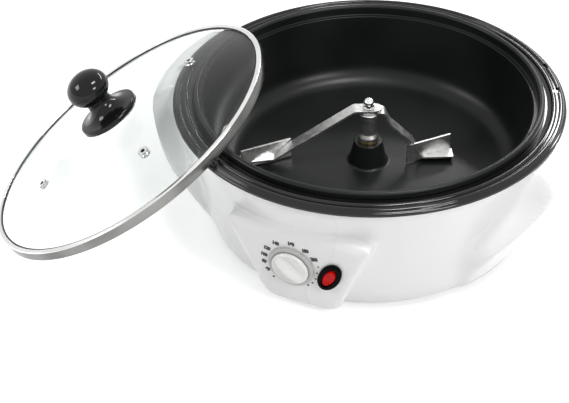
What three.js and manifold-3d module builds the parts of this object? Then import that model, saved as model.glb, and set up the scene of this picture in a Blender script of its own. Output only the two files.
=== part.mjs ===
// Home coffee bean roaster: a flared white housing with two side grips and a
// sloped control pod, a black trim ring, a non-stick pan with a driven
// stirrer, and a loose domed glass lid that leans against the ring.
// Units are millimetres, +Z is up, the pan axis is the Z axis, the control
// panel faces -Y, and z = 0 is the underside of the base plate.

import * as THREE from "three";
import { mergeVertices } from "three/addons/utils/BufferGeometryUtils.js";
import Module from "manifold-3d";

const wasm = await Module();
wasm.setup();

// Driving dimensions
const lidRadius = 132.3;
const housingHeight = 104.2;
const panFloorHeight = 42;
const footDrop = 5;
const gap = 0.3;
const runningClearance = 0.08;
const overrun = 1;

// Facet counts
const roundSteps = 40;
const midSteps = 28;
const partSteps = 16;
const smallSteps = 10;

// Housing
const housingWall = 2.4;
const rimBevel = 1.5;
const housingSlack = 0.3;
const housingFlare = 22.3;
const flankShares = [[0.115, 0.18], [0.336, 0.295], [0.576, 0.536], [0.787, 0.773], [0.95, 1], [1, 1]];
const bossInset = 18;
const bossRadius = 5;
const bossHeight = 20;
const bossRib = 3;
const bossCount = 4;
const bossAngle = 45;
const inletHeight = 18;
const inletRadius = 5.5;
const inletCollar = 3;
const inletStand = 7.5;

// Side grips: rows of height, reach and half-angle shares
const gripReach = 42.5;
const gripHalfAngle = 35;
const gripDepth = 50;
const gripBevel = 3;
const gripTopDrop = 1.5;
const gripArcSteps = 6;
const gripShares = [
  [0, 0.035, 0.957], [0.05, 0.118, 0.986], [0.146, 0.259, 1], [0.292, 0.459, 0.986], [0.438, 0.624, 0.914],
  [0.584, 0.788, 0.743], [0.73, 0.941, 0.586], [0.847, 1, 0.52], [0.9, 0.976, 0.503], [0.94, 0.894, 0.486],
  [0.973, 0.729, 0.474], [1, 0.553, 0.469],
];

// Control pod and panel
const panelTilt = 5;
const panelStand = 13;
const panelBottom = 3.2;
const panelTop = 69.5;
const panelTopHalf = 51.5;
const panelBottomHalf = 25.4;
const panelCorner = 7;
const panelCornerSteps = 3;
const podDepth = 30;
const podLip = 1;
const podLipShare = 0.35;
const podShoulderDepth = 4;
const podSideGrow = 4.6;
const podTopGrow = 5.8;
const podBottomGrow = 1.4;

// Base plate, feet and screws
const plateThickness = 2.5;
const plateSlack = 0.6;
const ventCount = 16;
const ventInset = 44;
const ventLength = 28;
const ventWidth = 4;
const footRadius = 9;
const footTopRadius = 9.8;
const footRecessDepth = 2.8;
const screwShank = 1.5;
const screwHead = 3.6;
const screwHeadHeight = 1.9;
const screwReach = 16;

// Trim ring
const ringFlange = 18.7;
const ringPlate = 2;
const ringSkirt = 2.4;
const skirtDrop = 0.7;
const skirtRound = 1.6;
const ridgeOuterInset = 4.4;
const ridgeInnerInset = 9.6;
const ridgeHalf = 2;
const ridgeRise = 2.1;
const ridgeValley = 0.7;
const ridgeSteps = 3;
const locatorWall = 1.8;
const locatorDepth = 4;
const locatorSlack = 0.4;
const notchAngles = [23, 37, 180, 197];
const notchLength = 7;
const notchWidth = 2.6;
const notchDepth = 1.6;

// Pan
const panWall = 2;
const panFlare = 21.8;
const panCorner = 18;
const panCornerSteps = 4;
const ledgeDrop = 8.6;
const ledgeWidth = 3.7;
const lidClearance = 1.2;
const lipWidth = 4.7;
const lipRise = 5.4;
const lipRound = 2.3;
const lipSteps = 2;
const panRingSlack = 0.8;
const panBossRadius = 16;
const panBossTopRadius = 11.5;
const panBossHeight = 20;

// Heating element, heat shield and cutout
const elementInset = 33;
const elementTube = 3.25;
const elementGapAngle = 16;
const elementLeg = 10;
const elementClearance = 1.2;
const elementSides = 8;
const shieldSheet = 0.8;
const shieldInset = 4;
const shieldRimWidth = 13;
const shieldRimRise = 7;
const shieldHoleSlack = 1.4;
const shieldBore = 9.5;
const postRadius = 4;
const postInset = 9;
const postCount = 3;
const postAngle = 30;
const cutoutRadius = 8;
const cutoutHeight = 5.5;
const cutoutInset = 23;
const cutoutStepShare = 0.4;

// Drive: gear motor, bracket, bush, shaft and stirrer
const motorRadius = 24.5;
const gearboxRadius = 20;
const gearboxHeight = 4.3;
const motorBossRadius = 7.5;
const motorBossHeight = 3;
const bracketSheet = 2;
const bracketHalf = 36;
const bracketFoot = 12;
const bracketWidth = 32;
const shaftRadius = 4;
const shaftSocket = 5;
const bushWall = 2.1;
const bushFlange = 8.5;
const bushFlangeHeight = 1.8;
const hubHeight = 25.5;
const hubRadius = 8.6;
const hubWaist = 7;
const hubCap = 2.1;
const hubFoot = 6;
const studRadius = 2.5;
const studReach = 5.5;
const armSheet = 1.6;
const armWidth = 12;
const armFlat = 12;
const armBend = 4;
const bendSteps = 4;
const stirrerAngle = 25;
const lobeReach = 11;
const shortLobeReach = 7.5;
const longArmGap = 2;
const shortArmReach = 70;
const armFloorGap = 4;
const longPaddle = 44;
const shortPaddle = 40;
const paddleHeight = 17;
const paddleFloorGap = 1.4;
const paddleAngle = 22;
const longArmShares = [[0.73, 0.94], [1, 1]];
const shortArmShares = [[0.25, 0.26], [0.52, 0.68], [0.62, 1], [1, 1]];
const nutCornerRadius = 5.2;
const nutHexHeight = 4.2;
const nutDomeRadius = 4.4;
const nutBoreDepth = 6.5;

// Thermostat and its knob
const dialX = -5;
const dialHeight = 41.3;
const dialRadius = 18.4;
const dialThickness = 2.2;
const dialBevel = 0.7;
const spindleRadius = 3;
const spindleReach = 5.5;
const bushingRadius = 5.2;
const thermostatWidth = 30;
const thermostatHeight = 26;
const thermostatDepth = 11;
const thermostatSocket = 8;
const knobRadius = 14.8;
const knobEdge = 2.6;
const knobRim = 1.4;
const knobDishDepth = 1.1;
const gripBarWidth = 9;
const gripBarRise = 5.2;
const gripBarAngle = -41;
const gripBarSteps = 6;

// Power switch
const switchX = 26;
const switchHeight = 40.7;
const switchHalfWidth = 8.2;
const switchHalfLength = 14.8;
const switchBezelHeight = 2.8;
const switchBezelLip = 1.2;
const switchDepth = 11;
const rockerHalfWidth = 4.3;
const rockerHalfLength = 10;
const rockerRise = 3.4;
const rockerDepth = 5;
const rockerSlack = 0.9;
const rockerSwing = 7;
const rockerScoop = 48;
const rockerPivotDepth = 1.5;
const rockerPin = 1.3;
const rockerPinReach = 1.5;
const switchTurn = -26;

// Terminal block
const blockWidth = 34;
const blockDepth = 14;
const blockHeight = 12;
const blockInset = 26;
const blockWells = 3;
const blockWellRadius = 2.6;
const blockWellDepth = 5;

// Lid, in its own frame: w = 0 is the lower edge of the band
const lidOverhang = 40.6;
const lidHeading = 22;
const lidRestGap = 0.9;
const bandSheet = 1;
const bandHeight = 7.6;
const bandLip = 3.9;
const bandShelf = 2.2;
const glassThickness = 3.6;
const glassRise = 21;
const glassFlatWidth = 5;
const glassSteps = 5;
const glassInset = 1.6;
const ventFromEdge = 55.3;
const ventBore = 1.5;
const ventTube = 2.6;
const ventFlange = 4.5;
const ventFlangeHeight = 1;
const lidVentCount = 4;
const lidVentAngle = 28.8;
const knobPlateRadius = 26.5;
const knobPlateThickness = 0.9;
const lidKnobHeight = 43;
const lidKnobFlange = 26;
const lidKnobEdge = 3.2;
const lidKnobNeck = 10.5;
const lidKnobNeckHeight = 15;
const lidKnobBall = 18;
const lidKnobBallRise = 14;
const lidKnobShoulder = 1.5;
const lidKnobBevel = 0.8;
const lidKnobSteps = 4;
const lidScrewShank = 2.2;
const lidScrewHead = 5;
const lidScrewHeadHeight = 2.4;
const lidScrewReach = 18;

// Sizes that follow from the ones above
const tableHeight = -footDrop;
const ringUnderside = housingHeight + gap;
const troughHeight = ringUnderside + ringPlate;
const lipInner = lidRadius + lidClearance;
const lipOuter = lipInner + lipWidth;
const lipUnderside = troughHeight + gap;
const lipTop = lipUnderside + lipRise;
const riserRadius = lipInner + panWall;
const flangeInner = riserRadius + panRingSlack;
const ringRadius = flangeInner + ringFlange;
const housingTopRadius = ringRadius - ringSkirt - housingSlack;
const housingTopBore = housingTopRadius - housingWall;
const baseRadius = housingTopRadius - housingFlare;
const ledgeHeight = lipTop - ledgeDrop;
const ledgeInner = lipInner - ledgeWidth;
const panFloorRadius = ledgeInner - panFlare;
const panUnderside = panFloorHeight - panWall;
const bushRadius = shaftRadius + runningClearance + bushWall;
const panBossTop = panFloorHeight + panBossHeight;
const bushTop = panBossTop + gap + bushFlangeHeight;
const hubBottom = bushTop + gap;
const hubTop = hubBottom + hubHeight;
const shortArmTop = hubTop + gap + armSheet;
const longArmTop = shortArmTop + gap + armSheet;
const longArmReach = panFloorRadius - longArmGap;
const nutBottom = longArmTop + gap;
const elementRadius = panFloorRadius - elementInset;
const elementHeight = panUnderside - gap - elementTube;
const shieldUnderside = elementHeight - elementTube - elementClearance - shieldSheet;
const shieldFlatRadius = panFloorRadius - shieldInset;
const shieldRimRadius = shieldFlatRadius + shieldRimWidth;
const postCircle = shieldFlatRadius - postInset;
const cutoutCircle = elementRadius - cutoutInset;
const bracketTop = shieldUnderside - gap;
const bracketUnderside = bracketTop - bracketSheet;
const motorTop = bracketUnderside - gap;
const motorBottom = plateThickness + gap;
const bossCircle = baseRadius - bossInset;
const blockPlace = baseRadius - blockInset;
const panelDistance = baseRadius + panelStand;
const panelHeight = (panelBottom + panelTop) / 2;
const tiltAngle = THREE.MathUtils.degToRad(panelTilt);
const glassRadius = lidRadius - glassInset;
const glassUnderside = bandShelf + bandSheet + gap;
const glassFlatRadius = glassRadius - glassFlatWidth;
const glassTop = glassUnderside + glassRise + glassThickness;
const ventCircle = lidRadius - ventFromEdge;

// Colours
const whiteShell = { color: 0xf1f2f0, roughness: 0.32, metalness: 0 };
const blackGloss = { color: 0x0b0b0c, roughness: 0.16, metalness: 0 };
const blackMatt = { color: 0x161617, roughness: 0.6, metalness: 0 };
const nonStick = { color: 0x1d201e, roughness: 0.42, metalness: 0.1 };
const steel = { color: 0xc9cbcc, roughness: 0.25, metalness: 1 };
const zinc = { color: 0x9da0a2, roughness: 0.5, metalness: 1 };
const brass = { color: 0xb79a55, roughness: 0.4, metalness: 1 };
const aluminium = { color: 0xb9bcbe, roughness: 0.45, metalness: 1 };
const greyRing = { color: 0xa9aba6, roughness: 0.45, metalness: 0 };
const whiteKnob = { color: 0xf4f4f2, roughness: 0.22, metalness: 0 };
const redLens = { color: 0xc8110e, roughness: 0.2, metalness: 0 };
const rubber = { color: 0x242424, roughness: 0.85, metalness: 0 };
const ceramic = { color: 0xd9d2c0, roughness: 0.7, metalness: 0 };
const clearGlass = { color: 0xe9f1f0, roughness: 0.04, metalness: 0, transparent: true, opacity: 0.3 };

const radians = THREE.MathUtils.degToRad;

// A closed geometry as a solid whose faces point out
function solidOf(geometry) {
  geometry.deleteAttribute("normal");
  geometry.deleteAttribute("uv");
  const merged = mergeVertices(geometry);
  const index = merged.index.array;
  const corners = [];
  for (let i = 0; i < index.length; i += 3) {
    const [a, b, c] = index.slice(i, i + 3);
    if (a !== b && b !== c && c !== a) corners.push([a, b, c]);
  }
  const vertProperties = new Float32Array(merged.attributes.position.array);
  const build = (faces) =>
    new wasm.Manifold(new wasm.Mesh({ numProp: 3, vertProperties, triVerts: new Uint32Array(faces.flat()) }));
  const solid = build(corners);
  return solid.volume() < 0 ? build(corners.map((face) => face.toReversed())) : solid;
}

function geometryOf(solid) {
  const mesh = solid.getMesh();
  const geometry = new THREE.BufferGeometry();
  geometry.setAttribute("position", new THREE.BufferAttribute(new Float32Array(mesh.vertProperties), 3));
  geometry.setIndex(new THREE.BufferAttribute(new Uint32Array(mesh.triVerts), 1));
  geometry.computeVertexNormals();
  return geometry;
}

// A ring or disc from its half section, given as [radius, height] points
function revolved(outline, steps = roundSteps) {
  const points = outline.map(([radius, height]) => new THREE.Vector2(radius, height));
  points.push(points[0].clone());
  return new THREE.LatheGeometry(points, steps).rotateX(Math.PI / 2);
}

const revolve = (outline, steps) => solidOf(revolved(outline, steps));

// An upright cylinder that stands on z = bottom
function cylinderShape(radius, bottom, top, steps = smallSteps) {
  const height = top - bottom;
  const shape = new THREE.CylinderGeometry(radius, radius, height, steps);
  return shape.rotateX(Math.PI / 2).translate(0, 0, bottom + height / 2);
}

const cylinder = (radius, bottom, top, steps) => solidOf(cylinderShape(radius, bottom, top, steps));

// A box given by its lowest and highest corners
function boxShape(low, high) {
  const size = high.map((value, axis) => value - low[axis]);
  const middle = high.map((value, axis) => (value + low[axis]) / 2);
  return new THREE.BoxGeometry(...size).translate(...middle);
}

const box = (low, high) => solidOf(boxShape(low, high));

// A closed body through sections with equal numbers of points, each section convex
function loftShape(sections) {
  const count = sections[0].length;
  const last = (sections.length - 1) * count;
  const index = [];
  for (let ring = 0; ring < sections.length - 1; ring += 1) {
    for (let point = 0; point < count; point += 1) {
      const a = ring * count + point;
      const b = ring * count + ((point + 1) % count);
      index.push(a, b, b + count, a, b + count, a + count);
    }
  }
  for (let point = 1; point < count - 1; point += 1) {
    index.push(0, point + 1, point, last, last + point, last + point + 1);
  }
  const geometry = new THREE.BufferGeometry();
  const values = sections.flat().flatMap((point) => [point.x, point.y, point.z]);
  geometry.setAttribute("position", new THREE.BufferAttribute(new Float32Array(values), 3));
  geometry.setIndex(index);
  return geometry;
}

// Points of an arc or ellipse quarter, from one angle to another in degrees
function arc(centre, radii, from, to, steps) {
  const points = [];
  for (let i = 0; i <= steps; i += 1) {
    const angle = radians(from + ((to - from) * i) / steps);
    points.push([centre[0] + radii[0] * Math.cos(angle), centre[1] + radii[1] * Math.sin(angle)]);
  }
  return points;
}

// The arc that rounds one corner of a line, from the side of the point before it
function roundedCorner(previous, corner, next, radius, steps) {
  const here = new THREE.Vector2(...corner);
  const before = new THREE.Vector2(...previous).sub(here).normalize();
  const after = new THREE.Vector2(...next).sub(here).normalize();
  const half = Math.acos(before.dot(after)) / 2;
  const centre = before.clone().add(after).normalize().multiplyScalar(radius / Math.sin(half)).add(here);
  const start = here.clone().addScaledVector(before, radius / Math.tan(half)).sub(centre).angle();
  const sweep = (Math.PI - 2 * half) * -Math.sign(before.cross(after));
  return Array.from({ length: steps + 1 }, (_, step) => {
    const angle = start + (sweep * step) / steps;
    return [centre.x + radius * Math.cos(angle), centre.y + radius * Math.sin(angle)];
  });
}

function roundedOutline(corners, radius, steps) {
  return corners.flatMap((corner, i) =>
    roundedCorner(corners.at(i - 1), corner, corners[(i + 1) % corners.length], radius, steps));
}

// An open line whose inner corners are bends
function bentLine(corners, radius, steps) {
  const bends = corners.slice(1, -1).flatMap((corner, i) =>
    roundedCorner(corners[i], corner, corners[i + 2], radius, steps));
  return [corners[0], ...bends, corners.at(-1)];
}

// An outline pushed along +Z
function prismShape(outline, depth, holes = []) {
  const shape = new THREE.Shape(outline.map(([x, y]) => new THREE.Vector2(x, y)));
  holes.forEach((hole) => shape.holes.push(new THREE.Path(hole.map(([x, y]) => new THREE.Vector2(x, y)))));
  return new THREE.ExtrudeGeometry(shape, { depth, bevelEnabled: false });
}

const prism = (outline, depth, holes) => solidOf(prismShape(outline, depth, holes));

const union = (solids) => solids.reduce((sum, solid) => sum.add(solid));
const cut = (solid, tools) => tools.reduce((rest, tool) => rest.subtract(tool), solid);

// Equal turns about the Z axis, in degrees
const turns = (count, first) => Array.from({ length: count }, (_, i) => first + (360 * i) / count);

// The panel frame: x to the right, y up the sloped face, z straight out of it
function panelMatrix(x = 0, height = panelHeight) {
  const y = -(panelDistance + height * Math.tan(tiltAngle));
  return new THREE.Matrix4().makeRotationX(Math.PI / 2 + tiltAngle).setPosition(x, y, height);
}

function onPanel(geometry, x, height) {
  return solidOf(geometry.applyMatrix4(panelMatrix(x, height)));
}

// Housing body: outer flank and the hollow inside it
const flank = flankShares.map(([heightShare, flareShare]) => [
  baseRadius + (housingTopRadius - baseRadius) * flareShare,
  housingHeight * heightShare,
]);

function housingOuter() {
  return revolve([[0, 0], [baseRadius - rimBevel, 0], [baseRadius, rimBevel], ...flank, [0, housingHeight]]);
}

function housingHollow() {
  const inside = flank.map(([radius, height]) => [radius - housingWall, height]);
  const bottom = baseRadius - housingWall;
  return revolve([
    [0, -overrun], [bottom, -overrun], [bottom, 0], ...inside,
    [housingTopBore, housingHeight + overrun], [0, housingHeight + overrun],
  ]);
}

// One side grip: wide at the base, narrow and far-reaching under the ring
function grip(side, inset) {
  const topHeight = housingHeight - gripTopDrop;
  const sections = gripShares.map(([heightShare, reachShare, angleShare]) => {
    const outerRadius = baseRadius + gripReach * reachShare;
    const halfWidth = outerRadius * Math.sin(radians(gripHalfAngle * angleShare)) - inset;
    const radius = outerRadius - inset;
    const height = topHeight * heightShare + inset * (1 - 2 * heightShare);
    const halfAngle = Math.asin(halfWidth / radius);
    const bevelAngle = gripBevel / radius;
    const cheek = radius * Math.cos(halfAngle) - gripBevel;
    const edge = [];
    for (let i = 0; i <= gripArcSteps; i += 1) {
      const angle = (halfAngle - bevelAngle) * (1 - (2 * i) / gripArcSteps);
      edge.push([radius * Math.cos(angle), radius * Math.sin(angle)]);
    }
    const root = baseRadius - gripDepth;
    const outline = [[root, halfWidth], [cheek, halfWidth], ...edge, [cheek, -halfWidth], [root, -halfWidth]];
    return outline.map(([x, y]) => new THREE.Vector3(side * x, y, height));
  });
  return solidOf(loftShape(sections));
}

// The pod outline, grown or shrunk on its sides, top and bottom
function podSection(depth, sideGrow, topGrow, bottomGrow) {
  const low = (panelBottom - panelHeight) / Math.cos(tiltAngle) - bottomGrow;
  const high = (panelTop - panelHeight) / Math.cos(tiltAngle) + topGrow;
  const corners = [
    [-panelBottomHalf - sideGrow, low], [panelBottomHalf + sideGrow, low],
    [panelTopHalf + sideGrow, high], [-panelTopHalf - sideGrow, high],
  ];
  const outline = roundedOutline(corners, panelCorner, panelCornerSteps);
  return outline.map(([x, y]) => new THREE.Vector3(x, y, -depth));
}

function podOuter() {
  const grow = [podSideGrow, podTopGrow, podBottomGrow];
  return onPanel(loftShape([
    podSection(podDepth, ...grow),
    podSection(podShoulderDepth, ...grow),
    podSection(podLip, ...grow.map((size) => size * podLipShare)),
    podSection(0, 0, 0, 0),
  ]));
}

function podHollow() {
  const insideGrow = [podSideGrow, podTopGrow, podBottomGrow].map((grow) => grow - housingWall);
  return onPanel(loftShape([
    podSection(podDepth + overrun, ...insideGrow),
    podSection(podShoulderDepth + housingWall, ...insideGrow),
    podSection(housingWall, -housingWall, -housingWall, -housingWall),
  ]));
}

// Screw posts with a rib to the wall, kept inside the housing's outline
function screwPosts(outer) {
  const bottom = plateThickness + gap;
  const top = bottom + bossHeight;
  const posts = turns(bossCount, bossAngle).map((angle) => {
    const post = cylinder(bossRadius, bottom, top).add(
      box([0, -bossRib / 2, bottom], [baseRadius - bossCircle + housingWall + housingWall, bossRib / 2, top]),
    );
    const place = new THREE.Matrix4().makeRotationZ(radians(angle));
    place.multiply(new THREE.Matrix4().makeTranslation(bossCircle, 0, 0));
    return solidOf(geometryOf(post).applyMatrix4(place));
  });
  return union(posts).intersect(outer);
}

function screwPlaces() {
  return turns(bossCount, bossAngle).map((angle) => [
    bossCircle * Math.cos(radians(angle)), bossCircle * Math.sin(radians(angle)),
  ]);
}

// A round bar along +Y at the height of the cord inlet
function backPipe(radius, start, end) {
  const shape = cylinderShape(radius, start, end, partSteps);
  return solidOf(shape.rotateX(-Math.PI / 2).translate(0, 0, inletHeight));
}

function housingShell() {
  const outer = union([housingOuter(), grip(1, 0), grip(-1, 0), podOuter()]);
  const hollow = [housingHollow(), grip(1, housingWall), grip(-1, housingWall), podHollow()];
  const collarEnd = baseRadius + inletStand;
  const collarStart = baseRadius - housingWall;
  const collar = backPipe(inletRadius + inletCollar, collarStart, collarEnd);
  const inlet = backPipe(inletRadius, collarStart - overrun, collarEnd + overrun);
  const shell = cut(outer.add(collar), hollow).add(screwPosts(outer));
  const screwHoles = screwPlaces().map(([x, y]) =>
    cylinder(screwShank + gap, plateThickness - overrun, screwReach + overrun).translate([x, y, 0]));
  const throughWall = [-housingWall - overrun, overrun];
  return cut(shell, [
    inlet,
    ...screwHoles,
    onPanel(cylinderShape(bushingRadius + gap, ...throughWall, partSteps), dialX, dialHeight),
    onPanel(switchCutout(...throughWall), switchX, switchHeight),
  ]);
}

function basePlate() {
  const radius = baseRadius - housingWall - plateSlack;
  const disc = revolve([[0, 0], [radius, 0], [radius, plateThickness], [0, plateThickness]]);
  const vents = turns(ventCount, 180 / ventCount).map((angle) => {
    const low = [baseRadius - ventInset - ventLength, -ventWidth / 2, -overrun];
    const high = [baseRadius - ventInset, ventWidth / 2, plateThickness + overrun];
    return solidOf(boxShape(low, high).rotateZ(radians(angle)));
  });
  const holes = screwPlaces().map(([x, y]) =>
    solidOf(cylinderShape(screwShank + gap, -overrun, plateThickness + overrun).translate(x, y, 0)));
  return cut(disc, [...vents, ...holes]);
}

function foot() {
  const hole = screwShank + gap;
  const recess = screwHead + gap;
  return revolve([
    [hole, tableHeight + footRecessDepth], [recess, tableHeight + footRecessDepth], [recess, tableHeight],
    [footRadius, tableHeight], [footTopRadius, -gap], [hole, -gap],
  ], partSteps);
}

function baseScrew() {
  const headTop = tableHeight + footRecessDepth - gap;
  return revolve([
    [0, headTop - screwHeadHeight], [screwHead, headTop - screwHeadHeight], [screwHead, headTop],
    [screwShank, headTop], [screwShank, screwReach], [0, screwReach],
  ], smallSteps);
}

// One rounded ridge on the ring's top, from the outside in
function ridge(radius) {
  return arc([radius, troughHeight + ridgeValley], [ridgeHalf, ridgeRise - ridgeValley], 0, 180, ridgeSteps);
}

function trimRing() {
  const skirtBottom = housingHeight - skirtDrop;
  const skirtInner = ringRadius - ringSkirt;
  const locatorOuter = housingTopBore - locatorSlack;
  const locatorInner = locatorOuter - locatorWall;
  const locatorBottom = ringUnderside - locatorDepth;
  const ring = revolve([
    [ringRadius, skirtBottom],
    ...arc([ringRadius - skirtRound, troughHeight - skirtRound], [skirtRound, skirtRound], 0, 90, ridgeSteps),
    ...ridge(ringRadius - ridgeOuterInset),
    ...ridge(ringRadius - ridgeInnerInset),
    [ringRadius - ridgeInnerInset - ridgeHalf - ridgeValley, troughHeight],
    [flangeInner, troughHeight], [flangeInner, ringUnderside],
    [locatorInner, ringUnderside], [locatorInner, locatorBottom],
    [locatorOuter, locatorBottom], [locatorOuter, ringUnderside],
    [skirtInner, ringUnderside], [skirtInner, skirtBottom],
  ]);
  const notchCircle = ringRadius - (ridgeOuterInset + ridgeInnerInset) / 2;
  const notches = notchAngles.map((angle) => {
    const low = [notchCircle - notchWidth, -notchLength / 2, troughHeight + ridgeRise - notchDepth];
    const high = [notchCircle + notchWidth, notchLength / 2, troughHeight + ridgeRise + overrun];
    return solidOf(boxShape(low, high).rotateZ(radians(angle)));
  });
  return cut(ring, notches);
}

function pan() {
  const outerCorner = panCorner + panWall;
  const cornerHeight = panFloorHeight + panCorner;
  return revolve([
    [bushRadius + gap, panUnderside],
    ...arc([panFloorRadius, cornerHeight], [outerCorner, outerCorner], -90, 0, panCornerSteps),
    [ledgeInner + panWall, ledgeHeight - panWall],
    [riserRadius, ledgeHeight - panWall], [riserRadius, lipUnderside], [lipOuter, lipUnderside],
    ...arc([lipOuter - lipRound, lipTop - lipRound], [lipRound, lipRound], 0, 90, lipSteps),
    ...arc([lipInner + lipRound, lipTop - lipRound], [lipRound, lipRound], 90, 180, lipSteps),
    [lipInner, ledgeHeight], [ledgeInner, ledgeHeight],
    ...arc([panFloorRadius, cornerHeight], [panCorner, panCorner], 0, -90, panCornerSteps),
    [panBossRadius, panFloorHeight], [panBossTopRadius, panBossTop], [bushRadius + gap, panBossTop],
  ]);
}

// Ring-shaped sheathed element whose two ends turn down through the shield
const elementEnds = () => [90 + elementGapAngle / 2, 90 - elementGapAngle / 2].map((angle) => [
  elementRadius * Math.cos(radians(angle)), elementRadius * Math.sin(radians(angle)),
]);

function heatingElement() {
  const centre = [elementRadius, elementHeight];
  const section = arc(centre, [elementTube, elementTube], 0, 360 - 360 / elementSides, elementSides - 1);
  const [endX, endY] = elementEnds()[1];
  const reach = elementRadius + elementTube + overrun;
  const gapCorners = [[0, 0], [(endX * reach) / endY, reach], [(-endX * reach) / endY, reach]];
  const opening = solidOf(prismShape(gapCorners, 2 * elementHeight));
  const legs = elementEnds().map(([x, y]) => {
    const leg = cylinder(elementTube, shieldUnderside - elementLeg, elementHeight, elementSides);
    const ball = new THREE.SphereGeometry(elementTube, elementSides, elementSides / 2).rotateX(Math.PI / 2);
    const elbow = solidOf(ball.translate(0, 0, elementHeight));
    return leg.add(elbow).translate([x, y, 0]);
  });
  return union([revolve(section, midSteps).subtract(opening), ...legs]);
}

function heatShield() {
  const rimHeight = shieldUnderside + shieldRimRise;
  const dish = revolve([
    [shieldBore, shieldUnderside], [shieldFlatRadius, shieldUnderside], [shieldRimRadius, rimHeight],
    [shieldRimRadius, rimHeight + shieldSheet], [shieldFlatRadius, shieldUnderside + shieldSheet],
    [shieldBore, shieldUnderside + shieldSheet],
  ], roundSteps);
  const holes = elementEnds().map(([x, y]) =>
    cylinder(elementTube + shieldHoleSlack, shieldUnderside - overrun, shieldUnderside + shieldRimRise)
      .translate([x, y, 0]));
  return cut(dish, holes);
}

const shieldPost = () => cylinder(postRadius, plateThickness + gap, shieldUnderside - gap, 6);

function thermalCutout() {
  const top = shieldUnderside - gap;
  const stepRadius = cutoutRadius * cutoutStepShare;
  const step = top - cutoutHeight * cutoutStepShare;
  return revolve([
    [0, top - cutoutHeight], [stepRadius, top - cutoutHeight], [stepRadius, step], [cutoutRadius, step],
    [cutoutRadius, top], [0, top],
  ], partSteps);
}

function motorBracket() {
  const low = plateThickness + gap;
  const inner = bracketHalf - bracketSheet;
  const outer = bracketHalf + bracketFoot;
  const bridge = prismShape([
    [-outer, low], [-inner, low], [-inner, bracketUnderside], [inner, bracketUnderside], [inner, low],
    [outer, low], [outer, low + bracketSheet], [bracketHalf, low + bracketSheet], [bracketHalf, bracketTop],
    [-bracketHalf, bracketTop], [-bracketHalf, low + bracketSheet], [-outer, low + bracketSheet],
  ], bracketWidth).rotateX(Math.PI / 2).translate(0, bracketWidth / 2, 0);
  const hole = cylinder(motorBossRadius + gap, bracketUnderside - overrun, bracketTop + overrun, partSteps);
  return solidOf(bridge).subtract(hole);
}

function gearMotor() {
  const bore = shaftRadius + gap;
  const socketBottom = motorTop - shaftSocket;
  return revolve([
    [0, motorBottom], [motorRadius, motorBottom], [motorRadius, motorTop - gearboxHeight],
    [gearboxRadius, motorTop - gearboxHeight], [gearboxRadius, motorTop], [motorBossRadius, motorTop],
    [motorBossRadius, motorTop + motorBossHeight], [bore, motorTop + motorBossHeight], [bore, socketBottom],
    [0, socketBottom],
  ], partSteps);
}

function shaftBush() {
  const bore = shaftRadius + runningClearance;
  const bottom = panUnderside - panWall;
  const seat = panBossTop + gap;
  return revolve([
    [bore, bottom], [bushRadius, bottom], [bushRadius, seat], [bushFlange, seat], [bushFlange, bushTop],
    [bore, bushTop],
  ], partSteps);
}

function driveShaft() {
  const bottom = motorTop - shaftSocket + gap;
  const shoulder = hubTop - hubCap - gap;
  return revolve([
    [0, bottom], [shaftRadius, bottom], [shaftRadius, shoulder], [studRadius, shoulder],
    [studRadius, nutBottom + studReach], [0, nutBottom + studReach],
  ], partSteps);
}

function stirrerHub() {
  const bore = shaftRadius + gap;
  const cap = hubTop - hubCap;
  return revolve([
    [bore, hubBottom], [hubRadius, hubBottom], [hubRadius, hubBottom + hubFoot / 2],
    [hubWaist, hubBottom + hubFoot],
    [hubWaist, cap - hubCap], [hubRadius, cap], [hubRadius, hubTop], [studRadius + gap, hubTop],
    [studRadius + gap, cap], [bore, cap],
  ], partSteps);
}

// A bent strip along a line in the XZ plane, with a round end in its plan
function strip(corners, lobeEnd, reachEnd) {
  const line = bentLine(corners, armBend, bendSteps);
  const face = (side) => line.map(([x, z], i) => {
    const [beforeX, beforeZ] = line[Math.max(i - 1, 0)];
    const [afterX, afterZ] = line[Math.min(i + 1, line.length - 1)];
    const run = Math.hypot(afterX - beforeX, afterZ - beforeZ);
    const offset = (side * armSheet) / 2 / run;
    return [x - (afterZ - beforeZ) * offset, z + (afterX - beforeX) * offset];
  });
  const outline = [...face(1), ...face(-1).reverse()];
  const ribbon = solidOf(prismShape(outline, armWidth).rotateX(Math.PI / 2).translate(0, armWidth / 2, 0));
  const half = armWidth / 2;
  const inwards = Math.sign(reachEnd - lobeEnd);
  const lobe = arc([lobeEnd + inwards * half, 0], [half * -inwards, half], -90, 90, gripArcSteps);
  const plan = [...lobe, [reachEnd + inwards * overrun, half], [reachEnd + inwards * overrun, -half]];
  return ribbon.intersect(prism(plan, nutBottom));
}

// A paddle plate set across the end of an arm
function paddle(middle, length, angle) {
  const bottom = panFloorHeight + paddleFloorGap;
  const low = [-length / 2, -armSheet / 2, bottom];
  const high = [length / 2, armSheet / 2, bottom + paddleHeight];
  return solidOf(boxShape(low, high).rotateZ(radians(angle)).translate(middle, 0, 0));
}

// Arm points follow the reach and the drop from the hub to the pan floor
function armPoints(shares, side, top, reach) {
  const middle = top - armSheet / 2;
  const drop = middle - panFloorHeight - armFloorGap;
  return [
    [-side * lobeReach, middle], [side * armFlat, middle],
    ...shares.map(([reachShare, dropShare]) => [side * reach * reachShare, middle - drop * dropShare]),
  ];
}

function stirrerArmLong() {
  const points = armPoints(longArmShares, -1, longArmTop, longArmReach);
  const middle = -(longArmReach - longPaddle / 2);
  const arm = strip(points, lobeReach, -longArmReach).add(paddle(middle, longPaddle, paddleAngle));
  return arm.subtract(cylinder(studRadius + gap, panFloorHeight, nutBottom + overrun));
}

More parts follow.
